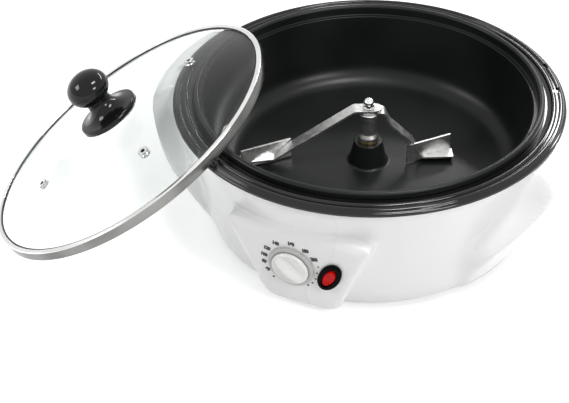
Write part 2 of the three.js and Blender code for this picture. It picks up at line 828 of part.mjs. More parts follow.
function stirrerArmShort() {
  const points = armPoints(shortArmShares, 1, shortArmTop, shortArmReach);
  const middle = shortArmReach - shortPaddle / 2;
  const arm = strip(points, -shortLobeReach, shortArmReach).add(paddle(middle, shortPaddle, paddleAngle));
  return arm.subtract(cylinder(studRadius + gap, panFloorHeight, nutBottom + overrun));
}

function capNut() {
  const hexTop = nutBottom + nutHexHeight;
  const hexagon = cylinder(nutCornerRadius, nutBottom, hexTop, 6);
  const dome = revolve([[0, nutBottom], [nutDomeRadius, nutBottom],
    ...arc([0, hexTop], [nutDomeRadius, nutDomeRadius], 0, 90, ridgeSteps)], partSteps);
  const bore = cylinder(studRadius + gap, nutBottom - overrun, nutBottom + nutBoreDepth);
  return hexagon.add(dome).subtract(bore);
}

// Thermostat parts, in the panel frame with the dial's centre as origin
function thermostatBody() {
  const back = -housingWall - gap;
  const halfWidth = thermostatWidth / 2;
  const halfHeight = thermostatHeight / 2;
  const outline = roundedOutline(
    [[-halfWidth, -halfHeight], [halfWidth, -halfHeight], [halfWidth, halfHeight], [-halfWidth, halfHeight]],
    housingWall, ridgeSteps,
  );
  const can = solidOf(prismShape(outline, thermostatDepth).translate(0, 0, back - thermostatDepth));
  const bushing = cylinder(bushingRadius, back - overrun, 0, partSteps);
  const bore = cylinder(spindleRadius + runningClearance, -thermostatSocket, overrun, partSteps);
  return can.add(bushing).subtract(bore);
}

const thermostatSpindle = () => cylinder(spindleRadius, gap - thermostatSocket, spindleReach, partSteps);

function dialRing() {
  const bore = spindleRadius + gap;
  return revolve([
    [bore, gap], [dialRadius, gap], [dialRadius, gap + dialThickness - dialBevel],
    [dialRadius - dialBevel, gap + dialThickness], [bore, gap + dialThickness],
  ], midSteps);
}

// Low round cap with a dished top and an arched bar across the dish
function thermostatKnob() {
  const bottom = dialThickness + gap + gap;
  const top = bottom + knobEdge;
  const dishRadius = knobRadius - knobRim;
  const cap = revolve([
    [0, bottom], [knobRadius, bottom], [knobRadius, top - dialBevel], [knobRadius - dialBevel, top],
    [dishRadius, top], [dishRadius - knobDishDepth, top - knobDishDepth], [0, top - knobDishDepth],
  ], midSteps);
  const section = [[-gripBarWidth / 2, bottom], [gripBarWidth / 2, bottom],
    ...arc([0, top - knobDishDepth], [gripBarWidth / 2, gripBarRise], 0, 180, gripBarSteps)];
  const beam = prismShape(section, 2 * knobRadius).rotateX(Math.PI / 2).translate(0, knobRadius, 0);
  const bar = solidOf(beam.rotateZ(radians(gripBarAngle - 90)));
  const ends = revolve([[0, bottom], [knobRadius, bottom],
    ...arc([0, top - knobDishDepth], [knobRadius - dialBevel, gripBarRise], 0, 90, gripBarSteps)], midSteps);
  const socket = cylinder(spindleRadius + gap, bottom - overrun, spindleReach + gap, partSteps);
  return cap.add(bar.intersect(ends)).subtract(socket);
}

function oval(halfWidth, halfLength, steps = partSteps) {
  return arc([0, 0], [halfWidth, halfLength], 0, 360 - 360 / steps, steps - 1);
}

// The hole that the switch body passes through, in line with the switch
function switchCutout(low, high) {
  const inset = switchBezelLip - gap;
  return prismShape(oval(switchHalfWidth - inset, switchHalfLength - inset, midSteps), high - low)
    .translate(0, 0, low).rotateZ(radians(switchTurn));
}

function switchHousing() {
  const bodyBottom = -housingWall - switchDepth;
  const bezelTop = gap + switchBezelHeight;
  const section = (inset, height) => oval(switchHalfWidth - inset, switchHalfLength - inset, midSteps)
    .map(([x, y]) => new THREE.Vector3(x, y, height));
  const block = solidOf(loftShape([
    section(switchBezelLip, bodyBottom), section(switchBezelLip, gap), section(0, gap),
    section(0, bezelTop - dialBevel), section(dialBevel, bezelTop),
  ]));
  const wellBottom = -rockerDepth - rockerSlack - rockerSlack;
  const wellOutline = oval(rockerHalfWidth + gap, rockerHalfLength + rockerSlack);
  const well = prism(wellOutline, bezelTop + overrun - wellBottom).translate([0, 0, wellBottom]);
  return cut(block, [well, rockerAxle(rockerPin + runningClearance, gap)]);
}

// The pins that the rocker tips on, or the bore for them
function rockerAxle(radius, slack) {
  const reach = rockerHalfWidth + rockerPinReach + slack;
  const shape = cylinderShape(radius, -reach, reach).rotateY(Math.PI / 2);
  return solidOf(shape.translate(0, 0, -rockerPivotDepth));
}

// Oval rocker with a scooped top, tipped to its switched-on side
function powerRocker() {
  const block = prism(oval(rockerHalfWidth, rockerHalfLength), rockerDepth + rockerRise)
    .translate([0, 0, -rockerDepth]);
  const scoop = solidOf(new THREE.CylinderGeometry(rockerScoop, rockerScoop, 2 * switchHalfWidth, roundSteps)
    .rotateZ(Math.PI / 2).translate(0, 0, rockerRise + rockerScoop - dialBevel));
  const rocker = block.subtract(scoop).add(rockerAxle(rockerPin, 0));
  const aboutPivot = new THREE.Matrix4().makeTranslation(0, 0, -rockerPivotDepth);
  aboutPivot.multiply(new THREE.Matrix4().makeRotationX(radians(rockerSwing)));
  aboutPivot.multiply(new THREE.Matrix4().makeTranslation(0, 0, rockerPivotDepth));
  return solidOf(geometryOf(rocker).applyMatrix4(aboutPivot));
}

function terminalBlock() {
  const bottom = plateThickness + gap;
  const top = bottom + blockHeight;
  const low = [-blockWidth / 2, blockPlace - blockDepth / 2, bottom];
  const high = [blockWidth / 2, blockPlace + blockDepth / 2, top];
  const pitch = blockWidth / blockWells;
  const wells = Array.from({ length: blockWells }, (_, i) =>
    solidOf(cylinderShape(blockWellRadius, top - blockWellDepth, top + overrun)
      .translate(pitch * (i - (blockWells - 1) / 2), blockPlace, 0)));
  return cut(box(low, high), wells);
}

// Lid parts, in the lid's own frame
const domeHeight = (radius) => glassUnderside + glassRise * (1 - (radius / glassFlatRadius) ** 2);
const domeSlope = (radius) => Math.atan((2 * glassRise * radius) / glassFlatRadius ** 2);

// Moves a piece that stands along +Z to a vent's place, square to the glass
function atVent(geometry, angle) {
  const leant = geometry.rotateY(domeSlope(ventCircle));
  return leant.translate(ventCircle, 0, domeHeight(ventCircle)).rotateZ(radians(angle));
}

function lidGlass() {
  const bore = lidScrewShank + gap;
  const ringStep = (glassFlatRadius - bore) / glassSteps;
  const radii = Array.from({ length: glassSteps + 1 }, (_, i) => bore + ringStep * i);
  const under = radii.map((radius) => [radius, domeHeight(radius)]);
  const over = under.map(([radius, height]) => [radius, height + glassThickness]).reverse();
  const glass = revolve([
    ...under, [glassRadius, glassUnderside], [glassRadius, glassUnderside + glassThickness], ...over,
  ]);
  const holes = turns(lidVentCount, lidVentAngle).map((angle) =>
    solidOf(atVent(cylinderShape(ventTube + gap, -glassThickness, 2 * glassThickness), angle)));
  return cut(glass, holes);
}

// Folded steel band: a skirt, a shelf under the glass and a lip over it
function lidBand() {
  const inner = lidRadius - bandSheet;
  const lipBottom = glassUnderside + glassThickness + gap;
  const lipInnerRadius = lidRadius - bandLip;
  return revolve([
    [inner, 0], [lidRadius, 0], [lidRadius, bandHeight], [lidRadius - bandSheet, lipBottom + bandSheet],
    [lipInnerRadius, lipBottom + bandSheet], [lipInnerRadius, lipBottom], [inner, lipBottom],
    [inner, bandShelf + bandSheet], [lipInnerRadius, bandShelf + bandSheet], [lipInnerRadius, bandShelf],
    [inner, bandShelf],
  ]);
}

function ventGrommet() {
  const top = glassThickness + gap;
  return revolved([
    [ventBore, -gap - ventFlangeHeight], [ventFlange, -gap - ventFlangeHeight], [ventFlange, -gap],
    [ventTube, -gap], [ventTube, top], [ventFlange, top], [ventTube, top + ventFlangeHeight],
    [ventBore, top + ventFlangeHeight],
  ], smallSteps);
}

function knobPlate() {
  const bore = lidScrewShank + gap;
  const bottom = glassTop + gap;
  return revolve([
    [bore, bottom], [knobPlateRadius, bottom], [knobPlateRadius, bottom + knobPlateThickness],
    [bore, bottom + knobPlateThickness],
  ], midSteps);
}

// Turned knob: flange, hollow neck and a flattened ball
function lidKnob() {
  const bottom = glassTop + gap + knobPlateThickness + gap;
  const bore = lidScrewShank + gap;
  const shoulderRadius = lidKnobFlange - lidKnobShoulder;
  const shoulder = bottom + lidKnobEdge + lidKnobBevel;
  const neck = bottom + lidKnobNeckHeight;
  const ballCentre = bottom + lidKnobHeight - lidKnobBallRise;
  const ballStart = -THREE.MathUtils.radToDeg(Math.acos(lidKnobNeck / lidKnobBall));
  return revolve([
    [bore, bottom], [lidKnobFlange - lidKnobBevel, bottom], [lidKnobFlange, bottom + lidKnobBevel],
    [lidKnobFlange, bottom + lidKnobEdge],
    ...arc([shoulderRadius, neck], [shoulderRadius - lidKnobNeck, neck - shoulder], 270, 180, lidKnobSteps),
    ...arc([0, ballCentre], [lidKnobBall, lidKnobBallRise], ballStart, 90, 2 * lidKnobSteps),
    [0, bottom + lidScrewReach + gap], [bore, bottom + lidScrewReach + gap],
  ], midSteps);
}

function lidScrew() {
  const headTop = domeHeight(0) - gap;
  const end = glassTop + gap + knobPlateThickness + gap + lidScrewReach;
  return revolve([
    [0, headTop - lidScrewHeadHeight], [lidScrewHead, headTop - lidScrewHeadHeight], [lidScrewHead, headTop],
    [lidScrewShank, headTop], [lidScrewShank, end], [0, end],
  ], partSteps);
}

// The lid leans with its low edge on the table and its band across the ring's outer ridge
function lidPlace() {
  const seatHeight = troughHeight + ridgeRise + lidRestGap;
  const edgeHeight = tableHeight + gap;
  const seatReach = lidRadius - lidOverhang;
  const tilt = Math.asin((seatHeight - edgeHeight) / (lidRadius + seatReach));
  const halfChord = Math.sqrt(lidRadius ** 2 - seatReach ** 2);
  const contactRadius = ringRadius - ridgeOuterInset;
  const distance = seatReach * Math.cos(tilt) + Math.sqrt(contactRadius ** 2 - halfChord ** 2);
  const heading = radians(lidHeading);
  const centreHeight = edgeHeight + lidRadius * Math.sin(tilt);
  return {
    position: [-distance * Math.cos(heading), -distance * Math.sin(heading), centreHeight],
    rotation: [0, -tilt, heading, "ZYX"],
  };
}

// Scene graph
const roaster = new THREE.Group();

function addPart(name, solid, finish, parent = roaster) {
  const mesh = new THREE.Mesh(geometryOf(solid), new THREE.MeshStandardMaterial(finish));
  mesh.name = name;
  parent.add(mesh);
  return mesh;
}

function addCase() {
  addPart("housing_shell", housingShell(), whiteShell);
  addPart("base_plate", basePlate(), zinc);
  screwPlaces().forEach(([x, y], i) => {
    addPart(`foot_${i + 1}`, foot(), rubber).position.set(x, y, 0);
    addPart(`base_screw_${i + 1}`, baseScrew(), zinc).position.set(x, y, 0);
  });
  addPart("trim_ring", trimRing(), blackGloss);
  addPart("terminal_block", terminalBlock(), ceramic);
}

function addHeater() {
  addPart("pan", pan(), nonStick);
  addPart("heating_element", heatingElement(), zinc);
  addPart("heat_shield", heatShield(), aluminium);
  turns(postCount, postAngle).forEach((angle, i) => {
    const post = addPart(`shield_post_${i + 1}`, shieldPost(), zinc);
    post.position.set(postCircle * Math.cos(radians(angle)), postCircle * Math.sin(radians(angle)), 0);
  });
  addPart("thermal_cutout", thermalCutout(), blackMatt).position.set(0, cutoutCircle, 0);
}

function addDrive() {
  addPart("gear_motor", gearMotor(), zinc);
  addPart("motor_bracket", motorBracket(), zinc);
  addPart("shaft_bush", shaftBush(), brass);
  const stirrer = new THREE.Group();
  stirrer.rotation.z = radians(stirrerAngle);
  roaster.add(stirrer);
  addPart("drive_shaft", driveShaft(), steel, stirrer);
  addPart("stirrer_hub", stirrerHub(), steel, stirrer);
  addPart("stirrer_arm_long", stirrerArmLong(), steel, stirrer);
  addPart("stirrer_arm_short", stirrerArmShort(), steel, stirrer);
  addPart("cap_nut", capNut(), steel, stirrer);
}

function panelGroup(x, height) {
  const place = new THREE.Group();
  place.applyMatrix4(panelMatrix(x, height));
  roaster.add(place);
  return place;
}

function addControls() {
  const dial = panelGroup(dialX, dialHeight);
  addPart("thermostat_body", thermostatBody(), blackMatt, dial);
  addPart("thermostat_spindle", thermostatSpindle(), steel, dial);
  addPart("dial_ring", dialRing(), greyRing, dial);
  addPart("thermostat_knob", thermostatKnob(), whiteKnob, dial);
  const power = panelGroup(switchX, switchHeight);
  power.rotateZ(radians(switchTurn));
  addPart("switch_housing", switchHousing(), blackMatt, power);
  addPart("power_rocker", powerRocker(), redLens, power);
}

function addLid() {
  const lid = new THREE.Group();
  const place = lidPlace();
  lid.position.set(...place.position);
  lid.rotation.set(...place.rotation);
  roaster.add(lid);
  addPart("lid_glass", lidGlass(), clearGlass, lid);
  addPart("lid_band", lidBand(), steel, lid);
  addPart("knob_plate", knobPlate(), steel, lid);
  addPart("lid_knob", lidKnob(), blackGloss, lid);
  addPart("lid_screw", lidScrew(), steel, lid);
  turns(lidVentCount, lidVentAngle).forEach((angle, i) => {
    addPart(`vent_grommet_${i + 1}`, solidOf(atVent(ventGrommet(), angle)), steel, lid);
  });
}

addCase();
addHeater();
addDrive();
addControls();
addLid();

export default roaster;
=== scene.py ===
"""Looks of a home coffee bean roaster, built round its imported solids.

Lengths are in millimetres and angles in degrees. A mesh is turned into metres when it is made.
"""

import math

import bmesh
import bpy
import numpy as np
from mathutils import Matrix, Vector


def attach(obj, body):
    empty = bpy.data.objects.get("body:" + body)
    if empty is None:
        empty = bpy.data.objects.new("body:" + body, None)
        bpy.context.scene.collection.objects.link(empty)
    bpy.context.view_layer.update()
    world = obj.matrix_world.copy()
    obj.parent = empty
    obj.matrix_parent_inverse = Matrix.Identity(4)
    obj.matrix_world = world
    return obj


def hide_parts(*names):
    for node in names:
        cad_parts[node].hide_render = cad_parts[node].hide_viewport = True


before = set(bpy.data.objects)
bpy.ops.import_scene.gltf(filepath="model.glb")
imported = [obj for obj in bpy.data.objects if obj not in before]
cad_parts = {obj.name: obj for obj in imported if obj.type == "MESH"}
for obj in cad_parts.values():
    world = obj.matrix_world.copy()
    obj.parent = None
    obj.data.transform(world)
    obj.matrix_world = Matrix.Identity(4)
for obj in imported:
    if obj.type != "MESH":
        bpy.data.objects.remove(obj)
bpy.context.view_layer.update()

MM = 0.001

# Sizes of the solids, first those that several parts share
GAP = 0.3
LID_RADIUS = 132.3
HOUSING_HEIGHT = 104.2
PAN_FLOOR_HEIGHT = 42
FOOT_DROP = 5

# Housing, whose wall has shares of its height and flare from the base up
HOUSING_WALL = 2.4
HOUSING_FLARE = 22.3
RIM_BEVEL = 1.5
FLANK_SHARES = [(0, 0), (0.115, 0.18), (0.336, 0.295), (0.576, 0.536), (0.787, 0.773), (0.95, 1), (1, 1)]
INLET_HEIGHT = 18
INLET_RADIUS = 5.5
INLET_COLLAR = 3
INLET_STAND = 7.5

# Grips, with shares of height, reach and half angle from the base up
GRIP_REACH = 42.5
GRIP_HALF_ANGLE = 35
GRIP_TOP_DROP = 1.5
GRIP_BEVEL = 3.5
GRIP_SHARES = [
    (0, 0.035, 0.957), (0.05, 0.118, 0.986), (0.146, 0.259, 1), (0.292, 0.459, 0.986), (0.438, 0.624, 0.914),
    (0.584, 0.788, 0.743), (0.73, 0.941, 0.586), (0.847, 1, 0.52), (0.9, 0.976, 0.503), (0.94, 0.894, 0.486),
    (0.973, 0.729, 0.474), (1, 0.553, 0.469),
]

# Control pod
PANEL_TILT = 5
PANEL_STAND = 13
PANEL_BOTTOM = 3.2
PANEL_TOP = 69.5
PANEL_TOP_HALF = 51.5
PANEL_BOTTOM_HALF = 25.4
PANEL_CORNER = 8.2
POD_SHOULDER_DEPTH = 4
POD_SIDE_GROW = 4.6
POD_TOP_GROW = 5.8
POD_BOTTOM_GROW = 1.4

# Feet on their bosses, and posts of the heat shield
FOOT_RADIUS = 9
FOOT_TOP_RADIUS = 9.8
FOOT_RECESS_DEPTH = 2.8
FOOT_RECESS = 3.9
FOOT_BORE = 1.8
FOOT_COUNT = 4
FOOT_FIRST_ANGLE = 45
BOSS_INSET = 18
POST_COUNT = 3

# Trim ring
RING_FLANGE = 18.7
RING_PLATE = 2
RING_SKIRT = 2.4
RING_SLACK = 0.3
SKIRT_DROP = 0.7
SKIRT_ROUND = 1.6
RIDGE_OUTER_INSET = 4.4
RIDGE_INNER_INSET = 9.6
RIDGE_HALF = 2
RIDGE_RISE = 2.1
RIDGE_VALLEY = 0.7
LOCATOR_WALL = 1.8
LOCATOR_DEPTH = 4
LOCATOR_SLACK = 0.4
NOTCH_ANGLES = (23, 37, 180, 197)
NOTCH_LENGTH = 7
NOTCH_WIDTH = 2.6
NOTCH_DEPTH = 1.6

# Pan
PAN_WALL = 2
PAN_FLARE = 21.8
PAN_CORNER = 18
LEDGE_DROP = 8.6
LEDGE_WIDTH = 3.7
LID_CLEARANCE = 1.2
LIP_WIDTH = 4.7
LIP_RISE = 5.4
LIP_ROUND = 2.3
PAN_RING_SLACK = 0.8
PAN_BOSS_RADIUS = 16
PAN_BOSS_TOP_RADIUS = 11.5
PAN_BOSS_HEIGHT = 20

# Bush, shaft and stirrer
BUSH_RADIUS = 6.18
BUSH_FLANGE_HEIGHT = 1.8
SHAFT_RADIUS = 4
HUB_HEIGHT = 25.5
HUB_RADIUS = 8.6
HUB_WAIST = 7
HUB_CAP = 2.1
HUB_FOOT = 6
ARM_SHEET = 1.6
STUD_RADIUS = 2.5
STIRRER_ANGLE = 25
NUT_CORNER_RADIUS = 5.2
NUT_SIDES = 6
NUT_HEX_HEIGHT = 4.2
NUT_DOME_RADIUS = 4.4

# Thermostat dial and knob
DIAL_X = -5
DIAL_HEIGHT = 41.3
DIAL_RADIUS = 18.4
DIAL_THICKNESS = 2.2
SPINDLE_RADIUS = 3
BUSHING_RADIUS = 5.2
KNOB_RADIUS = 14.8
KNOB_EDGE = 2.6
KNOB_RIM = 1.4
KNOB_DISH_DEPTH = 1.9
GRIP_BAR_WIDTH = 9
GRIP_BAR_RISE = 5.2
GRIP_BAR_ANGLE = -41

# Rocker switch
SWITCH_X = 26
SWITCH_HEIGHT = 40.7
SWITCH_HALF_WIDTH = 8.2
SWITCH_HALF_LENGTH = 14.8
SWITCH_BEZEL_HEIGHT = 2.8
SWITCH_BEZEL_LIP = 1.2
SWITCH_DEPTH = 11
SWITCH_TURN = -26
ROCKER_HALF_WIDTH = 4.3
ROCKER_HALF_LENGTH = 10
ROCKER_RISE = 3.4
ROCKER_DEPTH = 5
ROCKER_SLACK = 0.9
ROCKER_SWING = 7
ROCKER_SCOOP = 0.7
ROCKER_PIVOT_DEPTH = 1.5

# Leaning lid with band and glass
LID_OVERHANG = 40.6
LID_HEADING = 22
LID_REST_GAP = 0.9
BAND_SHEET = 1
BAND_HEIGHT = 7.6
BAND_LIP = 3.9
BAND_SHELF = 2.2
GLASS_THICKNESS = 3.6
GLASS_RISE = 21
GLASS_FLAT_WIDTH = 5
GLASS_INSET = 1.6

# Vents
VENT_FROM_EDGE = 55.3
VENT_BORE = 1.5
VENT_TUBE = 2.6
VENT_FLANGE = 4.5
VENT_FLANGE_HEIGHT = 1
VENT_COUNT = 4
VENT_ANGLE = 28.8

# Lid knob
KNOB_PLATE_THICKNESS = 0.9
LID_KNOB_HEIGHT = 43
LID_KNOB_FLANGE = 26
LID_KNOB_EDGE = 3.2
LID_KNOB_NECK = 10.5
LID_KNOB_NECK_HEIGHT = 15
LID_KNOB_BALL = 18
LID_KNOB_BALL_RISE = 14
LID_KNOB_SHOULDER = 1.5
LID_KNOB_BEVEL = 0.8
LID_SCREW_BORE = 2.5
LID_SCREW_REACH = 18.3

# Sizes that follow from the ones above
TABLE_HEIGHT = -FOOT_DROP
RING_UNDERSIDE = HOUSING_HEIGHT + GAP
TROUGH_HEIGHT = RING_UNDERSIDE + RING_PLATE
LIP_INNER = LID_RADIUS + LID_CLEARANCE
LIP_OUTER = LIP_INNER + LIP_WIDTH
LIP_UNDERSIDE = TROUGH_HEIGHT + GAP
LIP_TOP = LIP_UNDERSIDE + LIP_RISE
RISER_RADIUS = LIP_INNER + PAN_WALL
FLANGE_INNER = RISER_RADIUS + PAN_RING_SLACK
RING_RADIUS = FLANGE_INNER + RING_FLANGE
HOUSING_TOP_RADIUS = RING_RADIUS - RING_SKIRT - RING_SLACK
BASE_RADIUS = HOUSING_TOP_RADIUS - HOUSING_FLARE
LEDGE_HEIGHT = LIP_TOP - LEDGE_DROP
LEDGE_INNER = LIP_INNER - LEDGE_WIDTH
PAN_FLOOR_RADIUS = LEDGE_INNER - PAN_FLARE
PANEL_DISTANCE = BASE_RADIUS + PANEL_STAND
PANEL_HEIGHT = (PANEL_BOTTOM + PANEL_TOP) / 2
PANEL_SLOPE = math.radians(PANEL_TILT)
GLASS_RADIUS = LID_RADIUS - GLASS_INSET
GLASS_UNDERSIDE = BAND_SHELF + BAND_SHEET + GAP
GLASS_FLAT_RADIUS = GLASS_RADIUS - GLASS_FLAT_WIDTH
GLASS_TOP = GLASS_UNDERSIDE + GLASS_RISE + GLASS_THICKNESS
VENT_CIRCLE = LID_RADIUS - VENT_FROM_EDGE
HUB_BOTTOM = PAN_FLOOR_HEIGHT + PAN_BOSS_HEIGHT + GAP + BUSH_FLANGE_HEIGHT + GAP
HUB_TOP = HUB_BOTTOM + HUB_HEIGHT
NUT_BOTTOM = HUB_TOP + 3 * GAP + 2 * ARM_SHEET

# Finer sizes that only the looks have, first the edges and cuts of all parts
EDGE = 0.4
FINE_EDGE = 0.15
OVERRUN = 1
PANEL_CUT_MARGIN = 4
INLET_CUT_DEPTH = 9.6

# Soft joins of the housing's surface
FACE_EDGE = 1.8
GRIP_FILLET = 7
GRIP_TOP_SLOPE = 20
POD_FILLET = 3
CURVE_SOFTNESS = 5

# Pan, stirrer and nut
BOSS_FOOT_ROUND = 3
BOSS_TOP_ROUND = 1.2
HUB_WAIST_ROUND = 1
NUT_DOME_END = 86

# Dial and its knob
DIAL_ROUND = 0.8
DIAL_STEP = 1
KNOB_ROUND = 2.3
KNOB_CREST = 2.6
KNOB_CREST_FALL = 2.2
KNOB_DISH_POWER = 0.5
KNOB_CREST_POWER = 0.6

# Rocker switch, with shares of the way from rim to well and from rim to middle
SWITCH_RIM = 1.6
SWITCH_SLOPE_SHARES = (0.5, 0.85)
ROCKER_RIM = 1.1
ROCKER_TOP_SHARES = (0.2, 0.4, 0.6, 0.8, 0.95)

# Lid
GLASS_EDGE_ROUND = 0.8
BAND_TOP_ROUND = 0.9
BAND_LIP_ROUND = 0.6
# Dark bead inside the band's lip, as painted shade
BEAD_HALF = 0.7
BEAD_RISE = 0.45
BEAD_ARC = 330
VENT_ROUND = 0.6
NECK_START = 268
CROWN_END = 89

# Soft edges of the solids that keep their shape
KEPT_BEVEL = 0.25
KEPT_BEVEL_STEPS = 2
KEPT_BEVEL_ANGLE = 40
KEPT_WELD = 0.01

# Fineness of the meshes: steps round a circle, of an arc, of a search, and what counts as sharp
RING_STEPS = 256
DIAL_STEPS = 128
MID_STEPS = 96
HUB_STEPS = 64
NUT_STEPS = 48
VENT_STEPS = 48
FOOT_STEPS = 40
SMALL_STEPS = 32
DOT_STEPS = 16
KNOB_RINGS = 64
KNOB_LAST_RING = 0.01
GLASS_RINGS = 28
CROWN_ARC_STEPS = 28
NECK_ARC_STEPS = 16
PAN_ARC_STEPS = 12
BEAD_ARC_STEPS = 11
NUT_ARC_STEPS = 10
LIP_ARC_STEPS = 8
EDGE_ARC_STEPS = 6
BOSS_CORNER_STEPS = 6
CORNER_STEPS = 4
CURVE_SAMPLES = 9
SEARCH_INNER = 90
SEARCH_OUTER = 190
SEARCH_HALVINGS = 24
WELD = 0.001
SHARP_ANGLE = 38
STRAIGHT_HALF_ANGLE = 88

# Columns and rows of the housing: the end and the spacing of each stretch, close at pod, grips and inlet
COLUMNS_START = -125
HOUSING_COLUMNS = [
    (-116, 0.8), (-64, 0.24), (-55, 0.8), (-42, 1), (42, 0.8),
    (82, 1), (98, 0.35), (138, 1), (222, 0.8), (235, 1),
]
HOUSING_ROWS = [(8, 0.4), (64, 0.8), (82, 0.5), (HOUSING_HEIGHT, 1.1)]
INNER_ROW_STRIDE = 16

# Printed scale round the dial: numbers with their angles, dots with reach, angle and radius
LABEL_RADIUS = 22.8
DOT_RADIUS = 20.6
OFF_RADIUS = 23
LABEL_HEIGHT = 4.5
LABEL_NARROW = 0.8
LABEL_BOLDNESS = 0.42
LABEL_FAN = 0.2
LABEL_FINENESS = 3
PRINT_LIFT = 0.1
PRINT_DEPTH = 0.05
LABELS = [
    ("60", 207), ("80", 187), ("100", 168), ("120", 148), ("140", 121), ("160", 88), ("180", 58), ("200", 34),
]
DOTS = [
    (OFF_RADIUS, 227, 1), (LABEL_RADIUS, 16, 0.7), (DOT_RADIUS, -2, 0.8), (DOT_RADIUS, -21, 0.8),
    (DOT_RADIUS, -37, 0.85), (DOT_RADIUS, -52, 0.95),
]

# Camera that matches the photograph
IMAGE_WIDTH = 569
FOCAL_PIXELS = 1251.54
SENSOR_WIDTH = 36
CAMERA_PLACE = (291.8, -791.9, 652.3)
CAMERA_AZIMUTH = 25
CAMERA_ELEVATION = 37.76
CAMERA_ROLL = -1.83

# Floor, and light from all round
FLOOR_REACH = 4000
FLOOR_SHADE = (0.8, 0.8, 0.8)
FLOOR_ROUGHNESS = 0.9
FLOOR_SPECULAR = 0.1
FLOOR_GLOW = 0.5
FLOOR_NEAR = 300
FLOOR_FAR = 1100
WORLD_STRENGTH = 0.24
SEEN_RAYS = ("Is Camera Ray", "Is Glossy Ray", "Is Transmission Ray")

# Lamps: name, place, target, size and power in watts
LAMPS = [
    ("left", (-1350, -750, 900), (-50, -50, 50), (600, 400), 7.6),
    ("right", (1250, -720, 1100), (0, 0, 50), (500, 400), 11.8),
    ("back", (250, 1600, 1200), (0, 0, 80), (1300, 120), 14),
    ("top", (450, -150, 1850), (0, 0, 0), (600, 350), 18),
]


# Outlines and grids
def round_angles(steps):
    return np.linspace(0, 2 * math.pi, steps, endpoint=False)


def arc(centre, radii, start, end, steps):
    """Points of an ellipse arc."""
    angles = np.radians(np.linspace(start, end, steps + 1))
    return [(centre[0] + radii[0] * math.cos(a), centre[1] + radii[1] * math.sin(a)) for a in angles]


def oval(half_width, half_length, steps=MID_STEPS):
    return [(half_width * math.cos(a), half_length * math.sin(a)) for a in round_angles(steps)]


def level(outline, height):
    return [(x, y, height) for x, y in outline]


def rounded(corners, steps=CORNER_STEPS):
    """A closed outline from (x, y, radius) corners, each rounded by its radius."""
    points = []
    count = len(corners)
    for number, (x, y, radius) in enumerate(corners):
        here = Vector((x, y))
        before = Vector(corners[number - 1][:2]) - here
        after = Vector(corners[(number + 1) % count][:2]) - here
        half = before.angle(after) / 2
        if radius <= 0 or half > math.radians(STRAIGHT_HALF_ANGLE):
            points.append((x, y))
            continue
        reach = min(radius / math.tan(half), before.length / 2, after.length / 2)
        start = here + before.normalized() * reach
        end = here + after.normalized() * reach
        for step in range(steps + 1):
            share = step / steps
            spot = start * (1 - share) ** 2 + here * 2 * share * (1 - share) + end * share**2
            points.append((spot.x, spot.y))
    return points


def spaced(start, stretches):
    """Values from start on, even within each (end, spacing) stretch, without the last end."""
    parts = []
    for end, spacing in stretches:
        count = max(2, round((end - start) / spacing))
        parts.append(np.linspace(start, end, count, endpoint=False))
        start = end
    return np.concatenate(parts)


def grid_faces(rows, columns, closed):
    """Quads of a grid that wraps round its columns, and round its rows if closed."""
    faces = []
    for row in range(rows if closed else rows - 1):
        low = row * columns
        high = (row + 1) % rows * columns
        for column in range(columns):
            right = (column + 1) % columns
            faces.append((low + column, low + right, high + right, high + column))
    return faces


def capped_grid(rings):
    """Points and faces of stacked rings, with a flat cap at both ends."""
    columns = len(rings[0])
    points = [p for ring in rings for p in ring]
    faces = grid_faces(len(rings), columns, False)
    faces.append(tuple(reversed(range(columns))))
    faces.append(tuple(range(len(points) - columns, len(points))))
    return points, faces


def revolve(outline, steps):
    """Points and faces of a closed outline of (radius, height) turned about Z."""
    points = [(r * math.cos(a), r * math.sin(a), z) for r, z in outline for a in round_angles(steps)]
    return points, grid_faces(len(outline), steps, True)


# Pieces
def metres(values):
    return tuple(MM * value for value in values)


def metre_mesh(name, points, faces, place=None):
    """A mesh from points in millimetres, moved to its place."""
    mesh = bpy.data.meshes.new(name)
    mesh.from_pydata([metres(point) for point in points], [], faces)
    if place is not None:
        mesh.transform(place)
    return mesh


def add_object(name, data):
    added = bpy.data.objects.new(name, data)
    bpy.context.scene.collection.objects.link(added)
    return added


def finish_surface(mesh, material):
    """Smooth faces with sharp edges, all of one material."""
    mesh.polygons.foreach_set("use_smooth", [True] * len(mesh.polygons))
    mesh.set_sharp_from_angle(angle=math.radians(SHARP_ANGLE))
    mesh.materials.clear()
    mesh.materials.append(material)


def finish_object(name, mesh, body, material, stands_for=()):
    """A piece with welded points that rides on a body and stands for solids."""
    welded = bmesh.new()
    welded.from_mesh(mesh)
    bmesh.ops.remove_doubles(welded, verts=welded.verts, dist=WELD * MM)
    bmesh.ops.recalc_face_normals(welded, faces=welded.faces)
    welded.to_mesh(mesh)
    welded.free()
    finish_surface(mesh, material)
    piece = add_object(name, mesh)
    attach(piece, body)
    if stands_for:
        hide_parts(*stands_for)
    return piece


def finish_mesh(name, shape, body, material, stands_for=(), place=None):
    """A piece from the points and faces of its shape."""
    return finish_object(name, metre_mesh(name, *shape, place), body, material, stands_for)


def repaint(piece, place, material, wanted):
    """A second material on the faces whose radius and height round the piece's axis are wanted."""
    piece.data.materials.append(material)
    home = place.inverted()
    for face in piece.data.polygons:
        spot = home @ face.center / MM
        if wanted(math.hypot(spot.x, spot.y), spot.z):
            face.material_index = len(piece.data.materials) - 1


